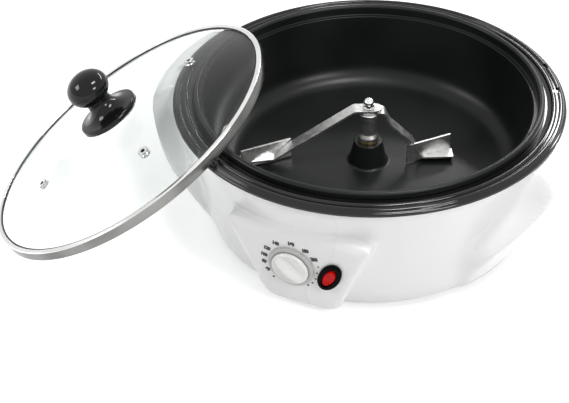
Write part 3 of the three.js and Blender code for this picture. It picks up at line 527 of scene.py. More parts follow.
# Cuts
def carve(piece, cutters):
    """Cuts the cutter objects out of a piece and removes them."""
    for cutter in cutters:
        cut = piece.modifiers.new("cut", "BOOLEAN")
        cut.operation = "DIFFERENCE"
        cut.solver = "EXACT"
        cut.object = cutter
    bpy.context.view_layer.update()
    shaped = piece.evaluated_get(bpy.context.evaluated_depsgraph_get())
    mesh = bpy.data.meshes.new_from_object(shaped)
    piece.modifiers.clear()
    finish_surface(mesh, piece.data.materials[0])
    piece.data = mesh
    for cutter in cutters:
        bpy.data.objects.remove(cutter)


def cutter_from(outline, low, high, place):
    shape = capped_grid([level(outline, low), level(outline, high)])
    return add_object("cutter", metre_mesh("cutter", *shape, place))


def round_cutter(radius, low, high, place):
    return cutter_from(oval(radius, radius, SMALL_STEPS), low, high, place)


def switch_oval(inset):
    return oval(SWITCH_HALF_WIDTH - inset, SWITCH_HALF_LENGTH - inset)


# Places
def shift(x, y, z):
    return Matrix.Translation(metres((x, y, z)))


def turn(angle, axis):
    return Matrix.Rotation(math.radians(angle), 4, axis)


def on_panel(x, height, spin=0):
    y = -(PANEL_DISTANCE + height * math.tan(PANEL_SLOPE))
    return shift(x, y, height) @ turn(90 + PANEL_TILT, "X") @ turn(spin, "Z")


def lid_place():
    """The leaning lid: its low edge rests on the table, a chord of its band on the outer ridge."""
    seat_height = TROUGH_HEIGHT + RIDGE_RISE + LID_REST_GAP
    edge_height = TABLE_HEIGHT + GAP
    seat_reach = LID_RADIUS - LID_OVERHANG
    tilt = math.asin((seat_height - edge_height) / (LID_RADIUS + seat_reach))
    half_chord = math.sqrt(LID_RADIUS**2 - seat_reach**2)
    contact_radius = RING_RADIUS - RIDGE_OUTER_INSET
    distance = seat_reach * math.cos(tilt) + math.sqrt(contact_radius**2 - half_chord**2)
    heading = math.radians(LID_HEADING)
    height = edge_height + LID_RADIUS * math.sin(tilt)
    spot = shift(-distance * math.cos(heading), -distance * math.sin(heading), height)
    return spot @ turn(LID_HEADING, "Z") @ turn(-math.degrees(tilt), "Y")


# Materials
def colour(red, green, blue):
    return (red, green, blue, 1)


class Nodes:
    """The nodes of a material or of the surroundings, with short calls for what is used here."""

    def __init__(self, owner):
        owner.use_nodes = True
        self.owner = owner
        self.tree = owner.node_tree

    def named(self, name):
        return self.tree.nodes[name]

    def join(self, source, target):
        self.tree.links.new(source, target)

    def fill(self, node, **values):
        """Joins or sets a node's inputs and settings by name, with _ for a space."""
        for key, value in values.items():
            if isinstance(value, bpy.types.NodeSocket):
                self.join(value, node.inputs[key.replace("_", " ")])
            elif hasattr(node, key):
                setattr(node, key, value)
            else:
                node.inputs[key.replace("_", " ")].default_value = value

    def add(self, kind, **values):
        node = self.tree.nodes.new(kind)
        self.fill(node, **values)
        return node

    def combine(self, kind, slots, first, second, **values):
        """The result of a node whose two numbered inputs take the first and the second value."""
        node = self.add(kind, **values)
        for slot, source in zip(slots, (first, second)):
            self.join(source, node.inputs[slot])
        return node.outputs[0]

    def any_ray(self, *kinds):
        """1 for rays of any of the kinds, 0 for others."""
        path = self.add("ShaderNodeLightPath")
        found = path.outputs[kinds[0]]
        for kind in kinds[1:]:
            found = self.combine("ShaderNodeMath", (0, 1), found, path.outputs[kind], operation="MAXIMUM")
        return found


# Finishes: both ends of the colour and of the roughness, cells of drift and grain per metre, grain depth
FINISHES = {
    "white_moulded_plastic": ((0.8, 0.805, 0.8), (0.81, 0.815, 0.81), (0.26, 0.28), 6, 900, 0.001),
    "white_knob_plastic": ((0.79, 0.79, 0.775), (0.81, 0.81, 0.795), (0.16, 0.22), 20, 1400, 0.003),
    "grey_dial_plastic": ((0.47, 0.48, 0.46), (0.52, 0.53, 0.51), (0.34, 0.44), 40, 2200, 0.02),
    "black_trim_plastic": ((0.004, 0.004, 0.0045), (0.007, 0.007, 0.0075), (0.06, 0.1), 12, 700, 0.001),
    "black_gloss_plastic": ((0.004, 0.004, 0.0045), (0.007, 0.007, 0.0075), (0.05, 0.1), 12, 700, 0.002),
    "switch_black_plastic": ((0.002, 0.002, 0.0022), (0.004, 0.004, 0.0044), (0.1, 0.18), 60, 1800, 0.004),
    "black_moulded_plastic": ((0.008, 0.008, 0.009), (0.014, 0.014, 0.015), (0.3, 0.45), 60, 2600, 0.03),
    "non_stick_coating": ((0.006, 0.0075, 0.0065), (0.01, 0.012, 0.0105), (0.3, 0.4), 18, 1600, 0.005),
    "polished_stainless": ((0.72, 0.72, 0.715), (0.84, 0.84, 0.835), (0.08, 0.16), 25, 1200, 0.001),
    # Outer wall of the lid band: the band's own steel made darker, as painted shade and reflection
    "band_wall_painted_shade": ((0.14, 0.14, 0.135), (0.25, 0.25, 0.24), (0.16, 0.26), 30, 1200, 0.001),
    # Outer rim of the vent eyelets: their steel made darker, as painted shade
    "eyelet_rim_painted_shade": ((0.24, 0.24, 0.24), (0.36, 0.36, 0.36), (0.15, 0.25), 200, 1200, 0.001),
    "pressed_stainless": ((0.58, 0.58, 0.57), (0.7, 0.7, 0.69), (0.3, 0.4), 60, 900, 0.001),
    "zinc_plated_steel": ((0.38, 0.39, 0.4), (0.52, 0.53, 0.54), (0.35, 0.5), 70, 900, 0.03),
    "rolled_aluminium": ((0.6, 0.61, 0.62), (0.72, 0.73, 0.74), (0.28, 0.42), 40, 1200, 0.02),
    "heated_sheath": ((0.1, 0.09, 0.08), (0.24, 0.22, 0.2), (0.4, 0.6), 55, 1500, 0.03),
    "turned_brass": ((0.5, 0.36, 0.14), (0.62, 0.47, 0.2), (0.22, 0.34), 90, 1800, 0.02),
    # Rubber of the feet, also the black of painted shade on the lid bead and in the vent holes
    "foot_rubber": ((0.012, 0.012, 0.012), (0.025, 0.025, 0.025), (0.7, 0.9), 120, 1500, 0.05),
    "block_ceramic": ((0.6, 0.55, 0.45), (0.68, 0.63, 0.53), (0.55, 0.75), 90, 1500, 0.04),
    "red_rocker_lens": ((0.42, 0.002, 0.0015), (0.68, 0.004, 0.003), (0.08, 0.16), 120, 1500, 0.01),
    "printed_ink": ((0.01, 0.01, 0.01), (0.02, 0.02, 0.02), (0.4, 0.55), 200, 3000, 0.01),
}
DRIFT_NOISE = {"Detail": 1, "Roughness": 0.4}
GRAIN_NOISE = {"Detail": 3, "Roughness": 0.55}
GRAIN_STRENGTH = 0.5
COLOUR_ENDS = (0.35, 0.65)
ROUGH_ENDS = (0.3, 0.7)
GLASS_IOR = 1.3
GLASS_TINT = (0.985, 1, 0.995)
GLASS_CLEAR_TINT = (0.97, 0.985, 0.98)
GLASS_WAVES = 14
GLASS_WAVE_DEPTH = 0.2
GLASS_WAVE_STRENGTH = 0.25


def textured(name, stretch=(1, 1, 1), **shader):
    """A finish whose colour and roughness drift softly over a fine grain."""
    low, high, rough, drift_cells, grain_cells, depth = FINISHES[name]
    nodes = Nodes(bpy.data.materials.new(name))
    place = nodes.add("ShaderNodeTexCoord").outputs["Object"]
    spot = nodes.add("ShaderNodeMapping", Vector=place, Scale=stretch).outputs["Vector"]
    drift = nodes.add("ShaderNodeTexNoise", Vector=spot, Scale=drift_cells, **DRIFT_NOISE).outputs["Fac"]
    grain = nodes.add("ShaderNodeTexNoise", Vector=spot, Scale=grain_cells, **GRAIN_NOISE).outputs["Fac"]
    ramp = nodes.add("ShaderNodeValToRGB", Fac=drift)
    for stop, position, end in zip(ramp.color_ramp.elements, COLOUR_ENDS, (low, high)):
        stop.position = position
        stop.color = colour(*end)
    spread = nodes.add(
        "ShaderNodeMapRange", Value=drift,
        From_Min=ROUGH_ENDS[0], From_Max=ROUGH_ENDS[1], To_Min=rough[0], To_Max=rough[1],
    )
    bump = nodes.add("ShaderNodeBump", Height=grain, Strength=GRAIN_STRENGTH, Distance=depth * MM)
    nodes.fill(
        nodes.named("Principled BSDF"), Base_Color=ramp.outputs["Color"],
        Roughness=spread.outputs["Result"], Normal=bump.outputs["Normal"], **shader,
    )
    return nodes.owner


def glass_material():
    """Clear glass that lets light through to what lies behind it."""
    nodes = Nodes(bpy.data.materials.new("lid_glass_clear"))
    place = nodes.add("ShaderNodeTexCoord").outputs["Object"]
    wave = nodes.add("ShaderNodeTexNoise", Vector=place, Scale=GLASS_WAVES, Detail=1).outputs["Fac"]
    bump = nodes.add(
        "ShaderNodeBump", Height=wave, Strength=GLASS_WAVE_STRENGTH, Distance=GLASS_WAVE_DEPTH * MM,
    )
    shader = nodes.named("Principled BSDF")
    nodes.fill(
        shader, Base_Color=colour(*GLASS_TINT), Roughness=0, IOR=GLASS_IOR, Transmission_Weight=1,
        Normal=bump.outputs["Normal"],
    )
    clear = nodes.add("ShaderNodeBsdfTransparent", Color=colour(*GLASS_CLEAR_TINT))
    straight = nodes.any_ray("Is Shadow Ray", "Is Diffuse Ray", "Is Glossy Ray")
    surface = nodes.combine(
        "ShaderNodeMixShader", (1, 2), shader.outputs["BSDF"], clear.outputs["BSDF"], Fac=straight,
    )
    nodes.join(surface, nodes.named("Material Output").inputs["Surface"])
    return nodes.owner


WHITE_PLASTIC = textured("white_moulded_plastic", Coat_Weight=0.55, Coat_Roughness=0.09)
KNOB_WHITE = textured("white_knob_plastic", Coat_Weight=0.4, Coat_Roughness=0.06)
GREY_PLASTIC = textured("grey_dial_plastic")
TRIM_BLACK = textured("black_trim_plastic", Specular_IOR_Level=0.42)
BLACK_GLOSS = textured("black_gloss_plastic", Specular_IOR_Level=0.28)
SWITCH_BLACK = textured("switch_black_plastic", Specular_IOR_Level=0.02)
BLACK_MATT = textured("black_moulded_plastic", Specular_IOR_Level=0.2)
NON_STICK = textured("non_stick_coating", Specular_IOR_Level=0.22)
POLISHED_STEEL = textured("polished_stainless", Metallic=1)
# Darker copy of the band's steel for its outer wall: painted shade and reflection
BAND_WALL_PAINTED_SHADE = textured("band_wall_painted_shade", Metallic=1)
# Darker copy of the eyelet steel for their rim: painted shade
EYELET_RIM_PAINTED_SHADE = textured("eyelet_rim_painted_shade", Metallic=1)
BRIGHT_STEEL = textured("pressed_stainless", stretch=(1, 6, 6), Metallic=1)
ZINC = textured("zinc_plated_steel", Metallic=1)
SHIELD = textured("rolled_aluminium", stretch=(1, 12, 1), Metallic=1)
SHEATH = textured("heated_sheath", Metallic=1)
BRASS = textured("turned_brass", Metallic=1)
# The feet's rubber, also used as painted shade on the lid bead and in the vent holes
RUBBER_AND_PAINTED_SHADE = textured("foot_rubber")
CERAMIC = textured("block_ceramic")
RED_LENS = textured("red_rocker_lens", Specular_IOR_Level=0.04)
PRINT_BLACK = textured("printed_ink")
GLASS = glass_material()


# Housing: one outer surface, found on rays from the axis
def soft_curve(z, heights, values):
    """Values along z between the given points, with their bends softened."""
    offsets = np.linspace(-CURVE_SOFTNESS, CURVE_SOFTNESS, CURVE_SAMPLES)
    return sum(np.interp(z + offset, heights, values) for offset in offsets) / len(offsets)


def soft_max(first, second, softness):
    overlap = np.maximum(softness - np.abs(first - second), 0)
    return np.maximum(first, second) + overlap**2 / (4 * softness)


def soft_min(first, second, softness):
    return -soft_max(-first, -second, softness)


def body_radius(z):
    heights = [share * HOUSING_HEIGHT for share, _ in FLANK_SHARES]
    radii = [BASE_RADIUS + (HOUSING_TOP_RADIUS - BASE_RADIUS) * share for _, share in FLANK_SHARES]
    bevel = np.maximum(RIM_BEVEL - z, 0) ** 2 / RIM_BEVEL
    return np.minimum(soft_curve(z, heights, radii), HOUSING_TOP_RADIUS) - bevel


def grip_field(radius, y, z):
    top = HOUSING_HEIGHT - GRIP_TOP_DROP
    heights = [share * top for share, _, _ in GRIP_SHARES]
    reaches = [BASE_RADIUS + GRIP_REACH * share for _, share, _ in GRIP_SHARES]
    angles = [math.radians(GRIP_HALF_ANGLE * share) for _, _, share in GRIP_SHARES]
    halves = [reach * math.sin(angle) for reach, angle in zip(reaches, angles)]
    outer = np.interp(z, heights, reaches) - np.maximum(z - top, 0) * GRIP_TOP_SLOPE
    width = soft_curve(z, heights, halves)
    return soft_max(radius - outer, np.abs(y) - width, GRIP_BEVEL)


def pod_field(x, y, z):
    """The pod as a leaning trapezium whose edges grow outwards behind its face."""
    slope_cos, slope_sin = math.cos(PANEL_SLOPE), math.sin(PANEL_SLOPE)
    centre_y = -(PANEL_DISTANCE + PANEL_HEIGHT * math.tan(PANEL_SLOPE))
    out = -(y - centre_y) * slope_cos - (z - PANEL_HEIGHT) * slope_sin
    up = -(y - centre_y) * slope_sin + (z - PANEL_HEIGHT) * slope_cos
    low = (PANEL_BOTTOM - PANEL_HEIGHT) / slope_cos
    high = (PANEL_TOP - PANEL_HEIGHT) / slope_cos
    behind = np.clip(-out / POD_SHOULDER_DEPTH, 0, 1)
    grow = 1 - (1 - behind) ** 2
    lean = (PANEL_TOP_HALF - PANEL_BOTTOM_HALF) / (high - low)
    half = PANEL_BOTTOM_HALF + lean * (up - low)
    side = (np.abs(x) - half) / math.hypot(1, lean) - POD_SIDE_GROW * grow
    ends = np.maximum(up - high - POD_TOP_GROW * grow, low - up - POD_BOTTOM_GROW * grow)
    return soft_max(soft_max(side, ends, PANEL_CORNER), out, FACE_EDGE)


def collar_field(x, y, z):
    pipe = np.hypot(x, z - INLET_HEIGHT) - INLET_RADIUS - INLET_COLLAR
    return soft_max(pipe, y - BASE_RADIUS - INLET_STAND, EDGE)


def housing_field(radius, angle, z):
    """Below 0 inside the housing: the body with its grips, the pod in front and the collar behind."""
    x, y = radius * np.cos(angle), radius * np.sin(angle)
    field = soft_min(radius - body_radius(z), grip_field(radius, y, z), GRIP_FILLET)
    pod = np.where(y < 0, pod_field(x, y, z), SEARCH_OUTER)
    field = soft_min(field, pod, POD_FILLET)
    collar = np.where(y > 0, collar_field(x, y, z), SEARCH_OUTER)
    return soft_min(field, collar, EDGE)


def outer_rows(angles, heights):
    """Points where the field is 0, by halving the reach along each ray."""
    angle, z = np.meshgrid(angles, heights)
    low = np.full(angle.shape, float(SEARCH_INNER))
    high = np.full(angle.shape, float(SEARCH_OUTER))
    for _ in range(SEARCH_HALVINGS):
        middle = (low + high) / 2
        inside = housing_field(middle, angle, z) < 0
        low, high = np.where(inside, middle, low), np.where(inside, high, middle)
    return np.stack([low * np.cos(angle), low * np.sin(angle), z], axis=-1)


def inner_rows(angles, heights):
    """Points of the plain round inside, from the top down, in fewer rows."""
    heights = heights[::-INNER_ROW_STRIDE]
    if heights[-1] > 0:
        heights = np.append(heights, 0)
    angle, z = np.meshgrid(angles, heights)
    bore = body_radius(z + RIM_BEVEL) - HOUSING_WALL
    return np.stack([bore * np.cos(angle), bore * np.sin(angle), z], axis=-1)


def make_housing():
    angles = np.radians(spaced(COLUMNS_START, HOUSING_COLUMNS))
    heights = np.append(spaced(0, HOUSING_ROWS), HOUSING_HEIGHT)
    rows = np.concatenate([outer_rows(angles, heights), inner_rows(angles, heights)])
    shape = (rows.reshape(-1, rows.shape[-1]).tolist(), grid_faces(len(rows), len(angles), True))
    shell = finish_mesh("housing", shape, "case", WHITE_PLASTIC, ["housing_shell"])
    panel_cut = (-HOUSING_WALL - PANEL_CUT_MARGIN, OVERRUN)
    inlet_cut = (BASE_RADIUS - INLET_CUT_DEPTH, BASE_RADIUS + 2 * INLET_STAND)
    switch_spot = on_panel(SWITCH_X, SWITCH_HEIGHT, SWITCH_TURN)
    carve(shell, [
        cutter_from(switch_oval(SWITCH_BEZEL_LIP - GAP), *panel_cut, switch_spot),
        round_cutter(BUSHING_RADIUS + GAP, *panel_cut, on_panel(DIAL_X, DIAL_HEIGHT)),
        round_cutter(INLET_RADIUS, *inlet_cut, shift(0, 0, INLET_HEIGHT) @ turn(-90, "X")),
    ])


# Ring, pan and feet
def ridge_points(inset):
    centre = (RING_RADIUS - inset, TROUGH_HEIGHT + RIDGE_VALLEY)
    return arc(centre, (RIDGE_HALF, RIDGE_RISE - RIDGE_VALLEY), 0, 180, LIP_ARC_STEPS)


def ring_outline():
    skirt_bottom = HOUSING_HEIGHT - SKIRT_DROP
    skirt_inner = RING_RADIUS - RING_SKIRT
    skirt_centre = (RING_RADIUS - SKIRT_ROUND, TROUGH_HEIGHT - SKIRT_ROUND)
    locator_outer = HOUSING_TOP_RADIUS - HOUSING_WALL - LOCATOR_SLACK
    locator_inner = locator_outer - LOCATOR_WALL
    locator_bottom = RING_UNDERSIDE - LOCATOR_DEPTH
    foot = RING_RADIUS - RIDGE_INNER_INSET - RIDGE_HALF - RIDGE_VALLEY
    return [
        (RING_RADIUS - EDGE, skirt_bottom), (RING_RADIUS, skirt_bottom + EDGE),
        *arc(skirt_centre, (SKIRT_ROUND, SKIRT_ROUND), 0, 90, EDGE_ARC_STEPS),
        *ridge_points(RIDGE_OUTER_INSET), *ridge_points(RIDGE_INNER_INSET),
        (foot + EDGE, TROUGH_HEIGHT + FINE_EDGE), (foot, TROUGH_HEIGHT),
        (FLANGE_INNER + EDGE, TROUGH_HEIGHT), (FLANGE_INNER, TROUGH_HEIGHT - EDGE),
        (FLANGE_INNER, RING_UNDERSIDE), (locator_inner, RING_UNDERSIDE),
        (locator_inner, locator_bottom), (locator_outer, locator_bottom),
        (locator_outer, RING_UNDERSIDE), (skirt_inner, RING_UNDERSIDE), (skirt_inner, skirt_bottom),
    ]


def make_ring():
    shape = revolve(ring_outline(), RING_STEPS)
    ring = finish_mesh("trim", shape, "case", TRIM_BLACK, ["trim_ring"])
    circle = RING_RADIUS - (RIDGE_OUTER_INSET + RIDGE_INNER_INSET) / 2
    top = TROUGH_HEIGHT + RIDGE_RISE
    near, far, half = circle - NOTCH_WIDTH, circle + NOTCH_WIDTH, NOTCH_LENGTH / 2
    notch = [(near, -half), (far, -half), (far, half), (near, half)]
    reach = (top - NOTCH_DEPTH, top + OVERRUN)
    carve(ring, [cutter_from(notch, *reach, turn(angle, "Z")) for angle in NOTCH_ANGLES])


def make_pan():
    corner = (PAN_FLOOR_RADIUS, PAN_FLOOR_HEIGHT + PAN_CORNER)
    outer_corner = PAN_CORNER + PAN_WALL
    bore = BUSH_RADIUS + GAP
    boss_top = PAN_FLOOR_HEIGHT + PAN_BOSS_HEIGHT
    lip_low = LIP_TOP - LIP_ROUND
    boss = rounded([
        (PAN_FLOOR_RADIUS / 2, PAN_FLOOR_HEIGHT, 0), (PAN_BOSS_RADIUS, PAN_FLOOR_HEIGHT, BOSS_FOOT_ROUND),
        (PAN_BOSS_TOP_RADIUS, boss_top, BOSS_TOP_ROUND), (bore, boss_top, 0),
    ], BOSS_CORNER_STEPS)
    outline = [
        (bore, PAN_FLOOR_HEIGHT - PAN_WALL),
        *arc(corner, (outer_corner, outer_corner), -90, 0, PAN_ARC_STEPS),
        (LEDGE_INNER + PAN_WALL, LEDGE_HEIGHT - PAN_WALL),
        (RISER_RADIUS, LEDGE_HEIGHT - PAN_WALL), (RISER_RADIUS, LIP_UNDERSIDE),
        (LIP_OUTER - EDGE, LIP_UNDERSIDE), (LIP_OUTER, LIP_UNDERSIDE + EDGE),
        *arc((LIP_OUTER - LIP_ROUND, lip_low), (LIP_ROUND, LIP_ROUND), 0, 90, LIP_ARC_STEPS),
        *arc((LIP_INNER + LIP_ROUND, lip_low), (LIP_ROUND, LIP_ROUND), 90, 180, LIP_ARC_STEPS),
        (LIP_INNER, LEDGE_HEIGHT + EDGE), (LIP_INNER - EDGE, LEDGE_HEIGHT),
        (LEDGE_INNER + EDGE, LEDGE_HEIGHT), (LEDGE_INNER, LEDGE_HEIGHT - EDGE),
        *arc(corner, (PAN_CORNER, PAN_CORNER), 0, -90, PAN_ARC_STEPS),
        *boss,
    ]
    finish_mesh("pan_coated", revolve(outline, RING_STEPS), "case", NON_STICK, ["pan"])


def make_feet():
    recess_top = TABLE_HEIGHT + FOOT_RECESS_DEPTH
    outline = rounded([
        (FOOT_BORE, recess_top, 0), (FOOT_RECESS, recess_top, 0), (FOOT_RECESS, TABLE_HEIGHT, EDGE),
        (FOOT_RADIUS, TABLE_HEIGHT, 2 * EDGE), (FOOT_TOP_RADIUS, -GAP, EDGE), (FOOT_BORE, -GAP, 0),
    ])
    shape = revolve(outline, FOOT_STEPS)
    reach = BASE_RADIUS - BOSS_INSET
    for number in range(FOOT_COUNT):
        angle = math.radians(FOOT_FIRST_ANGLE + 360 / FOOT_COUNT * number)
        place = shift(reach * math.cos(angle), reach * math.sin(angle), 0)
        solid = f"foot_{number + 1}"
        finish_mesh(f"foot_pad_{number + 1}", shape, "case", RUBBER_AND_PAINTED_SHADE, [solid], place)


# Stirrer
def make_stirrer():
    place = turn(STIRRER_ANGLE, "Z")
    cap = HUB_TOP - HUB_CAP
    bore = SHAFT_RADIUS + GAP
    outline = rounded([
        (bore, HUB_BOTTOM, 0), (HUB_RADIUS, HUB_BOTTOM, EDGE),
        (HUB_RADIUS, HUB_BOTTOM + HUB_FOOT / 2, EDGE), (HUB_WAIST, HUB_BOTTOM + HUB_FOOT, HUB_WAIST_ROUND),
        (HUB_WAIST, cap - HUB_CAP, HUB_WAIST_ROUND), (HUB_RADIUS, cap, EDGE), (HUB_RADIUS, HUB_TOP, EDGE),
        (STUD_RADIUS + GAP, HUB_TOP, 0), (STUD_RADIUS + GAP, cap, 0), (bore, cap, 0),
    ])
    shape = revolve(outline, HUB_STEPS)
    finish_mesh("stirrer_sleeve", shape, "stirrer", BRIGHT_STEEL, ["stirrer_hub"], place)
    make_nut(place)


def make_nut(place):
    """Six flats that round off into a dome, as one stack of rings."""
    hex_top = NUT_BOTTOM + NUT_HEX_HEIGHT
    angles = round_angles(NUT_STEPS)
    half_side = 180 / NUT_SIDES
    apothem = NUT_CORNER_RADIUS * math.cos(math.radians(half_side))
    six = apothem / np.cos(np.radians((np.degrees(angles) + half_side) % (2 * half_side) - half_side))
    limits = [
        (NUT_BOTTOM, apothem), (NUT_BOTTOM + EDGE, NUT_CORNER_RADIUS),
        (hex_top - EDGE, NUT_CORNER_RADIUS), (hex_top, apothem),
    ]
    rings = []
    for height, limit in limits:
        reaches = np.minimum(six, limit)
        rings.append([(r * math.cos(a), r * math.sin(a), height) for r, a in zip(reaches, angles)])
    dome = arc((0, hex_top), (NUT_DOME_RADIUS, NUT_DOME_RADIUS), 0, NUT_DOME_END, NUT_ARC_STEPS)
    rings += [level(oval(radius, radius, NUT_STEPS), height) for radius, height in dome]
    shape = capped_grid(rings)
    finish_mesh("dome_nut", shape, "stirrer", POLISHED_STEEL, ["cap_nut"], place)


# Controls
def make_dial():
    place = on_panel(DIAL_X, DIAL_HEIGHT)
    top = GAP + DIAL_THICKNESS
    bore = SPINDLE_RADIUS + GAP
    outline = rounded([
        (bore, GAP, 0), (DIAL_RADIUS, GAP, FINE_EDGE), (DIAL_RADIUS, top, DIAL_ROUND),
        (KNOB_RADIUS + DIAL_STEP, top, EDGE), (KNOB_RADIUS, top - EDGE, EDGE), (bore, top - EDGE, 0),
    ])
    shape = revolve(outline, DIAL_STEPS)
    finish_mesh("dial_skirt", shape, "thermostat_dial", GREY_PLASTIC, ["dial_ring"], place)
    make_knob(place @ turn(GRIP_BAR_ANGLE, "Z"))


def knob_height(x, y):
    """Height over the rim: a rounded rim, a dish inside it and an arched blade along X.

    The blade's crest lies towards -Y, steep behind it and sloping gently to the other side.
    """
    reach = math.hypot(x, y)
    dish = KNOB_RADIUS - KNOB_RIM
    edge = max(reach - (KNOB_RADIUS - KNOB_ROUND), 0) / KNOB_ROUND
    rim = KNOB_ROUND * (math.sqrt(max(1 - edge**2, 0)) - 1)
    hollow = -KNOB_DISH_DEPTH * math.cos(math.pi / 2 * min(reach / dish, 1)) ** KNOB_DISH_POWER
    base = rim + hollow
    arch = GRIP_BAR_RISE * math.sqrt(max(1 - (reach / (KNOB_RADIUS - EDGE)) ** 2, 0)) - KNOB_DISH_DEPTH
    across = y + KNOB_CREST
    side = across / (GRIP_BAR_WIDTH / 2 + KNOB_CREST) if across > 0 else -across / KNOB_CREST_FALL
    flank = math.cos(math.pi / 2 * min(side, 1)) ** (1 if across > 0 else KNOB_CREST_POWER)
    return base + max(arch - base, 0) * flank


def make_knob(place):
    bottom = DIAL_THICKNESS + 2 * GAP
    top = bottom + KNOB_EDGE
    rings = [level(oval(KNOB_RADIUS, KNOB_RADIUS, RING_STEPS), bottom)]
    for share in np.sin(np.linspace(math.pi / 2, KNOB_LAST_RING, KNOB_RINGS)):
        spots = oval(KNOB_RADIUS * share, KNOB_RADIUS * share, RING_STEPS)
        rings.append([(x, y, top + knob_height(x, y)) for x, y in spots])
    shape = capped_grid(rings)
    finish_mesh("knob_cap", shape, "thermostat_dial", KNOB_WHITE, ["thermostat_knob"], place)


def make_switch():
    """An oval bezel with a rounded rim, whose top slopes in to a well for the rocker."""
    place = on_panel(SWITCH_X, SWITCH_HEIGHT, SWITCH_TURN)
    top = GAP + SWITCH_BEZEL_HEIGHT
    well = (ROCKER_HALF_WIDTH + GAP, ROCKER_HALF_LENGTH + ROCKER_SLACK)
    rim_centre = (SWITCH_RIM, top - SWITCH_RIM)
    insets = [
        (SWITCH_BEZEL_LIP, -HOUSING_WALL - SWITCH_DEPTH), (SWITCH_BEZEL_LIP, GAP),
        (FINE_EDGE, GAP), (0, GAP + FINE_EDGE),
        *arc(rim_centre, (SWITCH_RIM, SWITCH_RIM), 180, 90, EDGE_ARC_STEPS),
    ]
    rings = [level(switch_oval(inset), height) for inset, height in insets]
    for share in SWITCH_SLOPE_SHARES:
        width = (SWITCH_HALF_WIDTH - SWITCH_RIM) * (1 - share) + well[0] * share
        length = (SWITCH_HALF_LENGTH - SWITCH_RIM) * (1 - share) + well[1] * share
        rings.append(level(oval(width, length), top - FINE_EDGE * share))
    rings += [level(oval(*well), top - EDGE), level(oval(*well), -ROCKER_DEPTH - 2 * ROCKER_SLACK)]
    shape = capped_grid(rings)
    finish_mesh("switch_bezel", shape, "case", SWITCH_BLACK, ["switch_housing"], place)
    make_rocker(place)


def rocker_ring(inset, height):
    outline = oval(ROCKER_HALF_WIDTH - inset, ROCKER_HALF_LENGTH - inset)
    return [(x, y, height - ROCKER_SCOOP * (1 - (y / ROCKER_HALF_LENGTH) ** 2)) for x, y in outline]


def make_rocker(place):
    """An oval lens with a rounded rim and a top scooped along its length."""
    pivot = shift(0, 0, -ROCKER_PIVOT_DEPTH) @ turn(ROCKER_SWING, "X") @ shift(0, 0, ROCKER_PIVOT_DEPTH)
    rim_centre = (ROCKER_RIM, ROCKER_RISE - ROCKER_RIM)
    rings = [level(oval(ROCKER_HALF_WIDTH, ROCKER_HALF_LENGTH), -ROCKER_DEPTH)]
    for inset, height in arc(rim_centre, (ROCKER_RIM, ROCKER_RIM), 180, 90, EDGE_ARC_STEPS):
        rings.append(rocker_ring(inset, height))
    for share in ROCKER_TOP_SHARES:
        rings.append(rocker_ring(ROCKER_RIM + (ROCKER_HALF_WIDTH - ROCKER_RIM) * share, ROCKER_RISE))
    shape = capped_grid(rings)
    finish_mesh("rocker_lens", shape, "rocker", RED_LENS, ["power_rocker"], place @ pivot)


# Printed scale round the dial
def scale_spot(reach, angle):
    turned = math.radians(angle)
    return shift(reach * math.cos(turned), reach * math.sin(turned), PRINT_LIFT)


def label_part(text, angle):
    """A number's mesh and its place on the panel, fanned out a little."""
    curve = bpy.data.curves.new("label", "FONT")
    curve.body = text
    curve.align_x = "CENTER"
    curve.align_y = "CENTER"
    curve.size = LABEL_HEIGHT * MM
    curve.offset = LABEL_BOLDNESS * MM
    curve.extrude = PRINT_DEPTH * MM / 2
    curve.resolution_u = LABEL_FINENESS
    source = add_object("label", curve)
    bpy.context.view_layer.update()
    mesh = bpy.data.meshes.new_from_object(source)
    bpy.data.objects.remove(source)
    narrow = Matrix.Diagonal((LABEL_NARROW, 1, 1, 1))
    return mesh, scale_spot(LABEL_RADIUS, angle) @ turn((90 - angle) * LABEL_FAN, "Z") @ narrow


def dot_part(reach, angle, radius):
    disc = oval(radius, radius, DOT_STEPS)
    shape = capped_grid([level(disc, 0), level(disc, PRINT_DEPTH)])
    return metre_mesh("dot", *shape), scale_spot(reach, angle)


def make_scale():
    """Numbers and dots as one thin print that sits on the panel."""
    parts = [label_part(*label) for label in LABELS] + [dot_part(*dot) for dot in DOTS]
    place = on_panel(DIAL_X, DIAL_HEIGHT)
    joined = bmesh.new()
    for mesh, spot in parts:
        mesh.transform(place @ spot)
        joined.from_mesh(mesh)
    scale = bpy.data.meshes.new("dial_scale")
    joined.to_mesh(scale)
    joined.free()
    finish_object("dial_scale", scale, "case", PRINT_BLACK)


# Lid
def dome_height(radius):
    return GLASS_UNDERSIDE + GLASS_RISE * (1 - (radius / GLASS_FLAT_RADIUS) ** 2)


def vent_places():
    slope = math.degrees(math.atan(2 * GLASS_RISE * VENT_CIRCLE / GLASS_FLAT_RADIUS**2))
    stand = shift(VENT_CIRCLE, 0, dome_height(VENT_CIRCLE)) @ turn(slope, "Y")
    return [turn(VENT_ANGLE + 360 / VENT_COUNT * number, "Z") @ stand for number in range(VENT_COUNT)]


def make_lid():
    place = lid_place()
    make_glass(place)
    make_band(place)
    make_shade_bead(place)
    make_vents(place)
    make_lid_knob(place)


